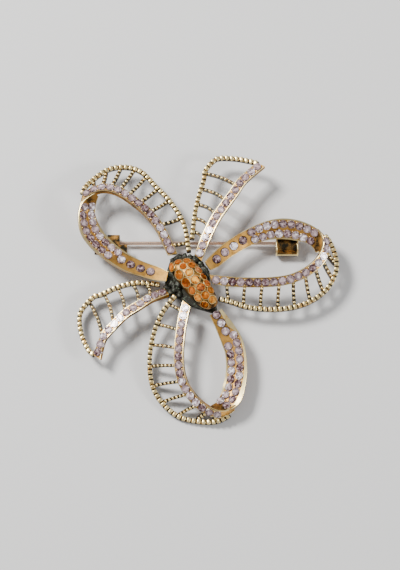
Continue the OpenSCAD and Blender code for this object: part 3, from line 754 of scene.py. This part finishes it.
# Block of a rail: its length as a share of the pitch, its height and bevel as shares of its width
BLOCK_LENGTH = 0.72
BLOCK_HEIGHT = 0.62
BLOCK_BEVEL = 0.15


def rail_block(width, pitch):
    """Pillow-shaped block of a rail: a cube with its edges taken off and its top raised."""
    start_fresh()
    bpy.ops.mesh.primitive_cube_add(size=1)
    block = begin("rail_block")
    bpy.ops.transform.resize(value=(width, pitch * BLOCK_LENGTH, width * BLOCK_HEIGHT))
    bpy.ops.mesh.bevel(offset=width * BLOCK_BEVEL, segments=2, affect="EDGES")
    return painted(close_up(block, 50), "rim_gold")


def strip_outline(sizes, thickness, width, channel, drop, tuck):
    """Outline of a jewelled ribbon: places across it and above its rims, round from the back.

    tuck is how far the back is drawn in under the rims.
    """
    a, b = channel
    rim = sizes.rim_width
    return [
        (tuck, -thickness), (0, -0.35 * rim), (0.25 * rim, 0), (a - 0.2 * rim, 0), (a, -0.25 * rim),
        (a + 0.1 * rim, -drop), (b - 0.1 * rim, -drop), (b, -0.25 * rim), (b + 0.2 * rim, 0),
        (width - 0.25 * rim, 0), (width, -0.35 * rim), (width - tuck, -thickness),
    ]


# Sides and back take the wall's gold, darkened as painted shade; the channel's walls take the hollows' black,
# patina and painted shade
STRIP_FINISHES = [WALL, RIM, RIM, RIM, HOLLOW, PLATE, HOLLOW, RIM, RIM, RIM, WALL, WALL]
RING_STEP = 0.55 * MM
PLATE_DROP = 0.13 * MM
LONE_DROP = 0.07 * MM
TIP_THIN = 0.45
TIP_FADE = 0.8
SEAT_DEPTH = 0.55 * MM
SEAT_FLOOR = 0.12 * MM
GIRDLE_SINK = 0.1 * MM
GRAIN_OFFSET = 0.62 * MM
# How far the back is drawn in under the rims of a front strip and of a back leg
STRIP_TUCK = 0.2 * MM
LEG_TUCK = 0.5 * MM
# From a strip's end to the edge of its first stone
STRIP_MARGIN = 0.15 * MM


class Spot:
    """Place of one stone: where its girdle's middle lies, its directions, and the room below it."""

    def __init__(self, section, d, thickness):
        self.section = section
        self.d = d
        self.thickness = thickness
        self.lone = False

    def frame(self, rise=0.0, offset=0.0):
        """Matrix that stands a shape here: its z along the face's normal, its y along the ribbon."""
        s = self.section
        return standing(s.at(self.d + offset, rise), s.along.cross(s.normal), s.along, s.normal)


def tip_share(rows, t, thins):
    """Share of the full thickness that a strip has at t, where its end is thin or isn't."""
    return clamp((len(rows) - 1 - t) * TIP_FADE, TIP_THIN, 1) if thins else 1


def front_strip(name, rows, side, thins, sizes):
    """One-row strip along the rims, thin where it runs out at the tip of a loop."""
    route = Route(lambda t: Section(rows, t, side).at(sizes.strip_width / 2, 0), 0, len(rows) - 1)
    channel = (sizes.rim_width, sizes.strip_width - sizes.rim_width)
    rings = []
    for t in route.even(round(route.length / RING_STEP)):
        share = tip_share(rows, t, thins)
        outline = strip_outline(
            sizes, sizes.ribbon_thickness * share, sizes.strip_width, channel, PLATE_DROP, STRIP_TUCK)
        section = Section(rows, t, side)
        rings.append([section.at(d, h) for d, h in outline])
    return painted(drawn_out(name, rings, STRIP_FINISHES), *RIBBON_FINISHES)


def strip_spots(rows, side, count, thins, sizes):
    """Places of the stones of a strip, and of the gaps between them."""
    middle = sizes.strip_width / 2
    route = Route(lambda t: Section(rows, t, side).at(middle, 0), 0, len(rows) - 1)
    first = sizes.stone_width / 2 + STRIP_MARGIN

    def spot(distance):
        t = route.t(distance)
        share = tip_share(rows, t, thins)
        return Spot(Section(rows, t, side), middle, sizes.ribbon_thickness * share)

    stones = [spot(first + i * sizes.stone_pitch) for i in range(count)]
    gaps = [spot(first + (i + 0.5) * sizes.stone_pitch) for i in range(count - 1)]
    return stones, gaps


# Rings at a leg's tip whose plate is painted dark, as painted shade
SHADED_TIP_RINGS = 7
LEG_GROW = (0.5, 1.6)
ROW_CLEAR = 0.15 * MM
ROW_GAP = 2.1 * MM
# Share of a leg's spare width that lies outside its stones: with the wide bevel, with two rows,
# and with one
WIDE_BEVEL = 0.6
THIN_BEVEL = 0.45
EVEN_BEVEL = 0.5
LEG_FROM = 0.85
LONE_BLEND = 0.7


def leg_thickness(t, sizes):
    return sizes.ribbon_thickness * clamp(TIP_THIN + (t - LEG_GROW[0]) / LEG_GROW[1], TIP_THIN, 1)


def leg_channel(width, rows_wide, wide_bevel, sizes):
    """Edges of a back leg's channel, one or two rows of stones wide, measured across the leg."""
    share = WIDE_BEVEL if wide_bevel else THIN_BEVEL if rows_wide == 2 else EVEN_BEVEL
    rim = sizes.rim_width
    wanted = sizes.strip_width - 2 * rim
    if rows_wide == 2:
        wanted = sizes.stone_width + ROW_GAP + ROW_CLEAR
    inner = min(width - 2 * rim, wanted)
    bevel = max(rim, (width - inner) * share)
    return bevel, min(bevel + inner, width - rim)


def back_leg(name, form, sizes):
    """Solid back leg: seats for two rows of stones, then for one, between a bevel and a thin rim."""
    rows = form["back"]
    route = Route(lambda t: sum(spline(rows, t), Vector()) / 2, 0, len(rows) - 1)
    rings = []
    for t in route.even(round(route.length / RING_STEP)):
        section = Section(rows, t, 1)
        lone = clamp((t - form["pair_to"]) / LONE_BLEND, 0, 1)
        pair = leg_channel(section.width, 2, form["wide_bevel"], sizes)
        single = leg_channel(section.width, 1, True, sizes) if form["wide_bevel"] else pair
        channel = (pair[0] + (single[0] - pair[0]) * lone, pair[1])
        drop = (PLATE_DROP + (LONE_DROP - PLATE_DROP) * lone) * clamp((t - LEG_FROM) * 2, 0.1, 1)
        outline = strip_outline(sizes, leg_thickness(t, sizes), section.width, channel, drop, LEG_TUCK)
        rings.append([section.at(d, h) for d, h in outline])
    # The plate at the leg's tip is painted dark as painted shade
    return painted(drawn_out(name, rings, STRIP_FINISHES, painted_shade_rings=SHADED_TIP_RINGS), *RIBBON_FINISHES)


def leg_spots(form, sizes):
    """Places of the stones of a back leg, and of the gaps between those of the two full rows."""
    rows = form["back"]
    stones, gaps = [], []
    for offset, first, count, step in form["rows"]:

        def middle(t, lane=offset * MM):
            section = Section(rows, t, 1)
            wide = 2 if t < form["pair_to"] + LOOK else 1
            start, end = leg_channel(section.width, wide, form["wide_bevel"], sizes)
            room = max(0, end - start - sizes.stone_width) / 2
            return section, (start + end) / 2 + clamp(lane, -room, room)

        def place(t):
            section, d = middle(t)
            return section.at(d, 0)

        route = Route(place, 0, len(rows) - 1)

        def spot(distance):
            t = route.t(distance)
            section, d = middle(t)
            return Spot(section, d, leg_thickness(t, sizes))

        set_here = [spot((first + i * step) * MM) for i in range(count)]
        for stone in set_here:
            stone.lone = not offset
        stones += set_here
        if offset:
            gaps += [spot((first + (i + 0.5) * step) * MM) for i in range(count - 1)]
    return stones, gaps


def seat_cuts(spots, sizes):
    """Drills for the seats of these stones, no deeper than the metal below them allows."""
    cuts = []
    for spot in spots:
        depth = min(SEAT_DEPTH, spot.thickness - SEAT_FLOOR)
        drill = seat_cutter(sizes.lone_seat_width if spot.lone else sizes.seat_width, depth)
        drill.data.transform(spot.frame())
        cuts.append(drill)
    return joined("seat_cutters", cuts)


# Most that a stone leans, and the step of the wave that the leans follow from stone to stone
STONE_LEAN = math.radians(2.5)
LEAN_STEP = 5


def set_stones(name, spots, sizes, finish, node):
    """Cuts one stone and sets a copy of it in each seat, each turned a little further than the last."""
    pattern = cut_stone("stone_pattern", sizes.stone_width, sizes.crown, sizes.pavilion, finish)
    places = []
    for i, spot in enumerate(spots):
        lean = Matrix.Rotation(STONE_LEAN * math.sin(LEAN_STEP * i), 4, "X")
        places.append(spot.frame(-GIRDLE_SINK) @ Matrix.Rotation(i * GOLDEN_TURN, 4, "Z") @ lean)
    return handed_over(stamped(name, pattern, places), [node], [pattern])


def handed_over(piece, nodes, patterns=()):
    """Puts a finished piece in the frame, in place of the nodes it stands for, trimmed to the part's box."""
    scrap(*patterns)
    for vertex in piece.data.vertices:
        vertex.co = [clamp(c, low, high) for c, low, high in zip(vertex.co, cad_low, cad_high)]
    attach(piece, BODY)
    if nodes:
        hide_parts(*nodes)
    return piece


def grains(gaps, sizes):
    """Grains on both sides of each gap between two stones."""
    bead = grain(sizes.grain_width)
    places = [gap.frame(-PLATE_DROP * 0.8, way * GRAIN_OFFSET) for gap in gaps for way in (-1, 1)]
    piece = stamped("grains", bead, places)
    scrap(bead)
    return piece


# Half widths and heights of a rung's wall and of a rail's core, in millimetres
WEB_OUTLINE = [(-0.3, -1.0), (0.3, -1.0), (0.36, -0.16), (-0.36, -0.16)]
CORE_OUTLINE = [(-0.42, -0.95), (0.42, -0.95), (0.5, -0.05), (0.4, 0.08), (-0.4, 0.08), (-0.5, -0.05)]
WEB_STEPS = 6
ABOVE_FLOOR = 0.03 * MM
BEAD_DROP = 0.12 * MM
BEAD_ENDS = (0.5 * MM, 1.0 * MM)
BLOCK_RISE = 0.19 * MM
LOOP_BOW = 0.1 * MM
TAIL_BOW = 0.35 * MM
RUNG_ROOT = 0.2 * MM
# Turn of the blocks where a rail lies as a rope, and the step along a tail's edge to its rail
ROPE_SLANT = math.radians(24)
EDGE_STEP = 0.5


def kept_up(ring):
    """A ring's points, with none of them below the floor."""
    return [Vector((p.x, p.y, max(p.z, ABOVE_FLOOR))) for p in ring]


def rung_web(name, route, point_at, level, lift):
    """Tall thin wall below a rung's beads."""
    rings = []
    for t in route.even(WEB_STEPS):
        at = point_at(t)
        ring = [at + level * side * MM + lift * high * MM for side, high in WEB_OUTLINE]
        rings.append(kept_up(ring))
    # The wall under the beads is black: patina and painted shade
    return painted(drawn_out(name, rings), "patina_and_shade")


def ladder(rows, side, first, last, count, bow, sizes):
    """Rungs from the strip's edge to the rail: their walls, and one piece with all their beads."""
    walls, places = [], []
    for i in range(count):
        section = Section(rows, first + (last - first) * i / (count - 1), side)
        start = section.at(sizes.strip_width - sizes.rim_width, -RUNG_ROOT)
        end = section.at(section.width, 0)
        lift = section.normal
        level = (end - start).cross(lift).normalized()
        path = [[start], [(start + end) / 2 + level * bow], [end]]

        def point_at(t, points=path):
            return spline(points, t)[0]

        route = Route(point_at, 0, 2)
        walls.append(rung_web("rung_wall", route, point_at, level, lift))
        free = route.length - sum(BEAD_ENDS)
        beads = max(1, round(free / sizes.bead_pitch))
        along = (end - start).normalized()
        for j in range(beads + 1):
            at = point_at(route.t(BEAD_ENDS[0] + free * j / beads))
            places.append(standing(at - lift * BEAD_DROP, level, along, lift))
    bead = rung_bead(sizes.bead_width)
    beads = stamped("rung_beads", bead, places)
    scrap(bead)
    return walls + [beads]


def rail(point_at, start, end, sizes, slant_from=None):
    """Rail: a dark core, and blocks along it. Past slant_from the blocks lie aslant, as in a rope."""
    route = Route(point_at, start, end)

    def stance(t):
        at = point_at(t)
        tangent = (point_at(min(t + LOOK, end)) - point_at(max(t - LOOK, start))).normalized()
        level = tangent.cross(Vector((0, 0, 1))).normalized()
        return at, tangent, level, level.cross(tangent)

    rings = []
    for t in route.even(round(route.length / RING_STEP)):
        at, tangent, level, up = stance(t)
        ring = [at + level * wide * MM + up * high * MM for wide, high in CORE_OUTLINE]
        rings.append(kept_up(ring))
    # The core shows black between the blocks: patina and painted shade
    core = painted(drawn_out("rail_core", rings), "patina_and_shade")
    places = []
    count = round(route.length / sizes.block_pitch)
    for i in range(count):
        t = route.t(route.length * (i + 0.5) / count)
        at, tangent, level, up = stance(t)
        slant = ROPE_SLANT if slant_from is not None and t > slant_from else 0
        places.append(standing(at + up * BLOCK_RISE, level, tangent, up) @ Matrix.Rotation(slant, 4, "Z"))
    block = rail_block(sizes.block_width, sizes.block_pitch)
    blocks = stamped("rail_blocks", block, places)
    scrap(block)
    return [core, blocks]


def make_loop(name, form, sizes):
    """One loop: its cast metal in one piece, and its stones in another."""
    form = dict(form, front=in_metres(form["front"]), back=in_metres(form["back"]))
    end, first, last = form["ladder"]
    strip = front_strip("front_strip", form["front"], LOOP_SIDE, True, sizes)
    strip_stones, strip_gaps = strip_spots(form["front"], LOOP_SIDE, form["stones"], True, sizes)
    drilled(strip, seat_cuts(strip_stones, sizes))
    leg = back_leg("back_leg", form, sizes)
    leg_stones, leg_gaps = leg_spots(form, sizes)
    drilled(leg, seat_cuts(leg_stones, sizes))
    parts = [strip, leg, grains(strip_gaps + leg_gaps, sizes)]
    parts += ladder(form["front"], LOOP_SIDE, first, last, LOOP_RUNGS, LOOP_BOW, sizes)
    parts += rail(lambda t: spline(form["front"], t)[1], 0, end, sizes)
    metal_piece = joined(name + "_loop_metal", parts)
    handed_over(metal_piece, ["loop_" + name + "_ribbon"])
    set_stones(
        name + "_loop_gems", strip_stones + leg_stones, sizes, "pale_glass",
        "loop_" + name + "_stones")


def make_tail(name, form, sizes):
    """One tail: its cast metal in one piece, and its stones in another."""
    rows = in_metres(form["rows"])
    start, first, last = form["ladder"]
    strip = front_strip("tail_strip", rows, form["side"], False, sizes)
    stones, gaps = strip_spots(rows, form["side"], form["stones"], False, sizes)
    drilled(strip, seat_cuts(stones, sizes))
    parts = [strip, grains(gaps, sizes)]
    parts += ladder(rows, form["side"], first, last, TAIL_RUNGS, TAIL_BOW, sizes)
    edge_steps = int((len(rows) - 2 - start) / EDGE_STEP + 1e-6) + 1
    edge = [[spline(rows, start + EDGE_STEP * i)[1]] for i in range(edge_steps)]
    path = edge + in_metres(form["end"])
    parts += rail(lambda t: spline(path, t)[0], 0, len(path) - 1, sizes, len(edge))
    metal_piece = joined(name + "_tail_metal", parts)
    handed_over(metal_piece, ["tail_" + name + "_ribbon"])
    set_stones(name + "_tail_gems", stones, sizes, "pale_glass", "tail_" + name + "_stones")


def knot_lean(u, v):
    """How far the knot's upper left end leans along the knot, at a place on it."""
    return KNOT_LEAN * v * clamp(-u / KNOT_HALF, 0, 1)


def knot_half_width(u, v):
    """Half the knot's width, on the side of it where v lies."""
    return KNOT_UPPER - KNOT_TAPER * u if v > 0 else KNOT_LOWER


def dome_z(share):
    """Height of the knot's dome, in millimetres, at a share of the way from its middle to its edge."""
    rise = math.sqrt(max(0, 1 - share ** DOME_POWER))
    return KNOT_SEAT_Z + KNOT_WALL + (KNOT_HEIGHT - KNOT_WALL) * rise


def knot_share(u, v):
    """Share of the way from the knot's middle to its edge at which a place lies."""
    u -= knot_lean(u, v)
    along = abs(u) / KNOT_HALF
    across = abs(v) / knot_half_width(u, v)
    return (along ** KNOT_POWER + across ** KNOT_POWER) ** (1 / KNOT_POWER)


def knot_frame():
    """Matrix from the knot's own axes, in metres, to the frame."""
    centre = (Vector((*KNOT_CENTRE, 0)) + BOW_SHIFT) * MM
    return Matrix.Translation(centre) @ Matrix.Rotation(KNOT_TURN, 4, "Z")


def knot_ring(share, z, points=40):
    """Points of a rounded outline at a height, turned to the knot's place."""
    ring = []
    for i in range(points):
        angle = 2 * math.pi * i / points
        across, up = math.cos(angle), math.sin(angle)
        u = share * KNOT_HALF * math.copysign(abs(across) ** (2 / KNOT_POWER), across)
        v = share * knot_half_width(u, up) * math.copysign(abs(up) ** (2 / KNOT_POWER), up)
        ring.append(knot_frame() @ (Vector((u + knot_lean(u, v), v, z)) * MM))
    return ring


KNOT_FOOT = 0.97
KNOT_LEVELS = (1.0, 0.985, 0.95, 0.9, 0.82, 0.72, 0.6, 0.46, 0.3, 0.14)
AMBER_SINK = 0.2 * MM
SLOPE_STEP = 0.05
# Width of the wall round a stone, and round the big ones, which are this wide or wider
COLLAR_WALL = 0.14 * MM
BIG_WALL = 0.24 * MM
BIG_STONE = 1.9 * MM
# Height of a wall as a share of its thickness, and how far it stands in the dome
COLLAR_HEIGHT = 1.5
COLLAR_SINK = 0.05 * MM
# How much wider an amber stone's seat is than the stone, and how deep it is drilled
AMBER_CLEAR = 0.1 * MM
AMBER_SEAT = 0.7 * MM


def dome_at(u, v):
    """Height of the dome above a place on the knot, in millimetres."""
    return dome_z(knot_share(u, v))


def on_dome(u, v):
    """Frame that stands on the knot's dome, leaned with its slope."""
    rise_u = (dome_at(u + SLOPE_STEP, v) - dome_at(u - SLOPE_STEP, v)) / 2 / SLOPE_STEP
    rise_v = (dome_at(u, v + SLOPE_STEP) - dome_at(u, v - SLOPE_STEP)) / 2 / SLOPE_STEP
    up = Vector((-rise_u, -rise_v, 1)).normalized()
    x = Vector((1, 0, rise_u)).normalized()
    at = Vector((u, v, dome_at(u, v))) * MM
    return knot_frame() @ standing(at, x, up.cross(x), up)


def collar(width, wall):
    """Thin raised wall round an amber stone."""
    start_fresh()
    bpy.ops.mesh.primitive_torus_add(
        major_segments=20, minor_segments=6, major_radius=(width + wall) / 2, minor_radius=wall / 2)
    ring = begin("collar")
    bpy.ops.mesh.select_all(action="SELECT")
    bpy.ops.transform.resize(value=(1, 1, COLLAR_HEIGHT))
    return painted(close_up(ring, 60), "rim_gold")


def make_knot(sizes):
    """Domed knot with a drilled and walled seat for each amber stone."""
    rings = [knot_ring(KNOT_FOOT, KNOT_SEAT_Z)] + [knot_ring(share, dome_z(share)) for share in KNOT_LEVELS]
    # The dome's gold between the stones is darkened as painted shade
    dome = painted(drawn_out("knot_dome", rings, angle=50), "wall_shade_gold")
    cuts, walls, stones = [], [], []
    for i, (u, v, width) in enumerate(KNOT_STONES):
        frame_here = on_dome(u, v)
        width *= MM
        drill = seat_cutter(width + AMBER_CLEAR, AMBER_SEAT)
        drill.data.transform(frame_here)
        cuts.append(drill)
        wall = collar(width + AMBER_CLEAR, BIG_WALL if width >= BIG_STONE else COLLAR_WALL)
        wall.data.transform(frame_here @ Matrix.Translation((0, 0, -COLLAR_SINK)))
        walls.append(wall)
        stone = cut_stone("amber", width, sizes.crown, sizes.pavilion, "amber_glass")
        turn = Matrix.Rotation(i * GOLDEN_TURN, 4, "Z")
        stone.data.transform(frame_here @ Matrix.Translation((0, 0, -AMBER_SINK)) @ turn)
        stones.append(stone)
    drilled(dome, joined("amber_cutters", cuts))
    handed_over(joined("knot_metal", [dome] + walls), ["knot_setting"])
    handed_over(joined("knot_gems", stones), ["knot_stones"])


# Plate's outline round the knot, its levels and how far it is drawn in there, in millimetres
HUB_OUTLINE = [
    (-9.3, 2.6), (-8.1, 6.6), (-7.2, 7.5), (-2.2, 7.7), (-1.4, 6.6), (0.3, 4.2), (0.4, 2.4), (0.2, -1.6),
    (2.0, -4.2), (1.5, -5.2), (0.2, -4.8), (-3.4, -3.7), (-6.2, -2.1), (-7.2, -1.4), (-8.8, -1.2),
    (-9.2, 0.4),
]
HUB_LEVELS = [(3.1, 0.35), (3.3, 0.05), (4.1, 0.0), (4.3, 0.2)]
# Nuggets of solder and patina round the knot: x, y, z and width
HUB_NUGGETS = [
    (-8.7, 0.5, 4.3, 1.7), (-7.7, 1.2, 4.7, 1.8), (-7.0, 0.1, 4.7, 2.0), (-8.0, -0.5, 4.3, 1.6),
    (-6.1, -0.9, 4.6, 1.5), (-6.4, 1.0, 4.9, 1.5), (-7.4, 6.5, 4.7, 1.5), (-6.2, 7.0, 4.8, 1.5),
    (-5.0, 7.1, 4.8, 1.4), (-3.8, 7.1, 4.8, 1.4), (-2.6, 6.6, 4.9, 1.6), (-1.7, 5.5, 4.9, 1.5),
    (-0.8, 4.3, 4.8, 1.6), (-0.1, 3.2, 4.6, 1.3), (1.3, -3.9, 4.6, 1.5),
]
NUGGET_FLATTEN = 0.42
NUGGET_ROUGHNESS = 0.55
# Dents in a nugget for each millimetre, coarse and fine, and the share of the fine ones
COARSE_DENTS = 1.6
FINE_DENTS = 4
FINE_SHARE = 0.4


def nugget(x, y, z, width):
    """Small lump of metal with a rough skin."""
    start_fresh()
    bpy.ops.mesh.primitive_ico_sphere_add(subdivisions=3, radius=width / 2 * MM)
    lump = begin("nugget")
    bpy.ops.transform.resize(value=(1, 1, NUGGET_FLATTEN))
    bpy.ops.object.mode_set(mode="OBJECT")
    place = (Vector((x, y, z)) + BOW_SHIFT) * MM
    for vertex in lump.data.vertices:
        at = (vertex.co + place) / MM
        rough = noise.noise(at * COARSE_DENTS) + noise.noise(at * FINE_DENTS) * FINE_SHARE
        vertex.co = place + vertex.co * (1 + NUGGET_ROUGHNESS * rough)
    bpy.ops.object.shade_smooth_by_angle(angle=math.radians(50))
    return painted(lump, "verdigris")


def make_hub():
    """Plate that the ribbons and the knot are soldered to, crusted with nuggets."""
    corners = [Vector((x, y, 0)) for x, y in HUB_OUTLINE]
    middle = sum(corners, Vector()) / len(corners)
    rings = []
    for z, inset in HUB_LEVELS:
        drawn = [corner + (middle - corner).normalized() * inset for corner in corners]
        rings.append([(place + Vector((0, 0, z)) + BOW_SHIFT) * MM for place in drawn])
    plate = painted(drawn_out("hub_plate", rings), "verdigris")
    lumps = [nugget(*row) for row in HUB_NUGGETS]
    handed_over(joined("hub", [plate] + lumps), ["centre_plate"])


# Catch, as in the part: its ends along the pin, its middle across the pin, its radius and its foot's end
CATCH_ENDS = (14.7, 19.4)
CATCH_MIDDLE = 9.95
CATCH_RADIUS = 1.6
CATCH_FOOT_END = 12.6
# Rim wire of the catch: its radius, and how far its middle lies in from the ends, as a share of that
TRIM_RADIUS = 0.16
TRIM_INSET = 0.6


def trim_wire(name, path, flat):
    """Thin round wire along a path, in millimetres. flat is the way that lies across all of it."""
    rings = []
    angles = [math.pi * k / 3 for k in range(6)]
    for i, point in enumerate(path):
        tangent = (path[min(i + 1, len(path) - 1)] - path[max(i - 1, 0)]).normalized()
        up = flat.cross(tangent)
        rings.append([
            (point + BOW_SHIFT + TRIM_RADIUS * (math.cos(a) * flat + math.sin(a) * up)) * MM for a in angles])
    return painted(drawn_out(name, rings, angle=60), "rim_gold")


def make_catch_trim():
    """Bright rims along both ends and the front of the near-black catch."""
    around = [math.radians(a) for a in range(0, 91, 15)]
    profile = [(CATCH_FOOT_END, 2 * CATCH_RADIUS)]
    profile += [
        (CATCH_MIDDLE - CATCH_RADIUS * math.sin(a), CATCH_RADIUS * (1 + math.cos(a))) for a in around]
    inset = TRIM_RADIUS * TRIM_INSET
    wires = []
    for x in (CATCH_ENDS[0] + inset, CATCH_ENDS[1] - inset):
        wires.append(trim_wire("side_rim", [Vector((x, y, z)) for y, z in profile], Vector((1, 0, 0))))
    y, z = profile[-2]
    front = [Vector((x, y, z)) for x in CATCH_ENDS]
    wires.append(trim_wire("front_rim", front, Vector((0, 1, 0))))
    handed_over(joined("catch_rims", wires), [])


class BROOCH_OT_finishes(bpy.types.Operator):
    """Mixes the metals, the glass and the studio paper"""
    bl_idname = "brooch.finishes"
    bl_label = "Finishes"

    def execute(self, context):
        finishes(context.scene.brooch_colours)
        return {"FINISHED"}


class BROOCH_OT_loops(bpy.types.Operator):
    """Casts the three loops, drills their seats and sets their stones"""
    bl_idname = "brooch.loops"
    bl_label = "Loops"

    def execute(self, context):
        for name, form in LOOPS.items():
            make_loop(name, form, context.scene.brooch_sizes)
        return {"FINISHED"}


class BROOCH_OT_tails(bpy.types.Operator):
    """Casts the two tails, drills their seats and sets their stones"""
    bl_idname = "brooch.tails"
    bl_label = "Tails"

    def execute(self, context):
        for name, form in TAILS.items():
            make_tail(name, form, context.scene.brooch_sizes)
        return {"FINISHED"}


class BROOCH_OT_knot(bpy.types.Operator):
    """Shapes the domed knot and sets its amber stones"""
    bl_idname = "brooch.knot"
    bl_label = "Knot"

    def execute(self, context):
        make_knot(context.scene.brooch_sizes)
        return {"FINISHED"}


class BROOCH_OT_back(bpy.types.Operator):
    """Casts the hub, and finishes the hinge, the catch and the pin"""
    bl_idname = "brooch.back"
    bl_label = "Hub and pin"

    def execute(self, context):
        make_hub()
        make_catch_trim()
        # Hinge and catch are near-black all over
        painted(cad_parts["pin_hinge"], "near_black_gold")
        painted(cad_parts["pin_catch"], "near_black_gold")
        painted(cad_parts["pin_stem"], "pin_gold")
        return {"FINISHED"}


class BROOCH_OT_studio(bpy.types.Operator):
    """Lays the paper floor and sets the lights and the camera"""
    bl_idname = "brooch.studio"
    bl_label = "Studio"

    def execute(self, context):
        studio = context.scene.brooch_studio
        lay_floor()
        soft_light("key_light", Vector(KEY_PLACE), KEY_SIZE, studio.key_power)
        soft_light("fill_light", Vector(FILL_PLACE), FILL_SIZE, studio.key_power * FILL_SHARE)
        light_room()
        aim_camera(studio)
        return {"FINISHED"}


def lay_floor():
    """Wide sheet of paper under the brooch."""
    start_fresh()
    bpy.ops.mesh.primitive_plane_add(size=FLOOR_SIZE)
    floor = begin("floor")
    bpy.ops.mesh.subdivide(number_cuts=3)
    bpy.ops.object.mode_set(mode="OBJECT")
    painted(floor, "studio_paper")


def soft_light(name, at, size, power):
    """Square soft light that looks at the brooch."""
    lamp = bpy.data.lights.new(name, "AREA")
    lamp.size = size
    lamp.energy = power
    stand = bpy.data.objects.new(name, lamp)
    stand.location = at
    stand.rotation_mode = "QUATERNION"
    stand.rotation_quaternion = (-at).to_track_quat("-Z", "Y")
    bpy.context.collection.objects.link(stand)


def light_room():
    """Dim, faintly blue light from all round."""
    world = bpy.data.worlds.new("room")
    world.use_nodes = True
    back = world.node_tree.nodes["Background"]
    back.inputs["Color"].default_value = ROOM_COLOUR
    back.inputs["Strength"].default_value = ROOM_STRENGTH
    bpy.context.scene.world = world


def aim_camera(studio):
    """Camera at the photograph's angle, framed so that the bow's middle falls on its pixel."""
    back = Vector((0, -math.cos(studio.elevation), math.sin(studio.elevation)))
    up = Vector((0, math.sin(studio.elevation), math.cos(studio.elevation)))
    right = Vector((1, 0, 0))
    pixel = studio.view_width / FRAME_WIDE
    middle = BOW_SHIFT * MM + Vector((0, 0, BOW_HEIGHT))
    aim = middle - right * (BOW_PIXEL[0] - FRAME_WIDE / 2) * pixel
    aim += up * (BOW_PIXEL[1] - FRAME_HIGH / 2) * pixel
    lens = bpy.data.cameras.new("camera")
    lens.sensor_fit = "HORIZONTAL"
    lens.lens = lens.sensor_width * studio.distance / studio.view_width
    lens.clip_start = CLIP_START
    camera = bpy.data.objects.new("camera", lens)
    camera.location = aim + back * studio.distance
    camera.rotation_mode = "QUATERNION"
    camera.rotation_quaternion = (-back).to_track_quat("-Z", "Y")
    bpy.context.collection.objects.link(camera)
    bpy.context.scene.camera = camera


OPERATORS = (
    BROOCH_OT_finishes, BROOCH_OT_loops, BROOCH_OT_tails, BROOCH_OT_knot, BROOCH_OT_back, BROOCH_OT_studio,
)


class BROOCH_PT_panel(bpy.types.Panel):
    """Sizes, colours and steps of the brooch"""
    bl_idname = "BROOCH_PT_panel"
    bl_label = "Love Knot Brooch"
    bl_space_type = "VIEW_3D"
    bl_region_type = "UI"
    bl_category = "Brooch"

    def draw(self, context):
        for title, group in (
            ("Sizes", context.scene.brooch_sizes),
            ("Colours", context.scene.brooch_colours),
            ("Studio", context.scene.brooch_studio),
        ):
            box = self.layout.box()
            box.label(text=title)
            for name in group.__annotations__:
                box.prop(group, name)
        for step in OPERATORS:
            self.layout.operator(step.bl_idname)


GROUPS = {"brooch_sizes": BroochSizes, "brooch_colours": BroochColours, "brooch_studio": BroochStudio}


def register():
    for kind in (*GROUPS.values(), *OPERATORS, BROOCH_PT_panel):
        bpy.utils.register_class(kind)
    for name, group in GROUPS.items():
        setattr(bpy.types.Scene, name, bpy.props.PointerProperty(type=group))


def unregister():
    for name in GROUPS:
        delattr(bpy.types.Scene, name)
    for kind in reversed((*GROUPS.values(), *OPERATORS, BROOCH_PT_panel)):
        bpy.utils.unregister_class(kind)


def main():
    register()
    bpy.ops.brooch.finishes()
    bpy.ops.brooch.loops()
    bpy.ops.brooch.tails()
    bpy.ops.brooch.knot()
    bpy.ops.brooch.back()
    bpy.ops.brooch.studio()


if __name__ == "__main__":
    main()
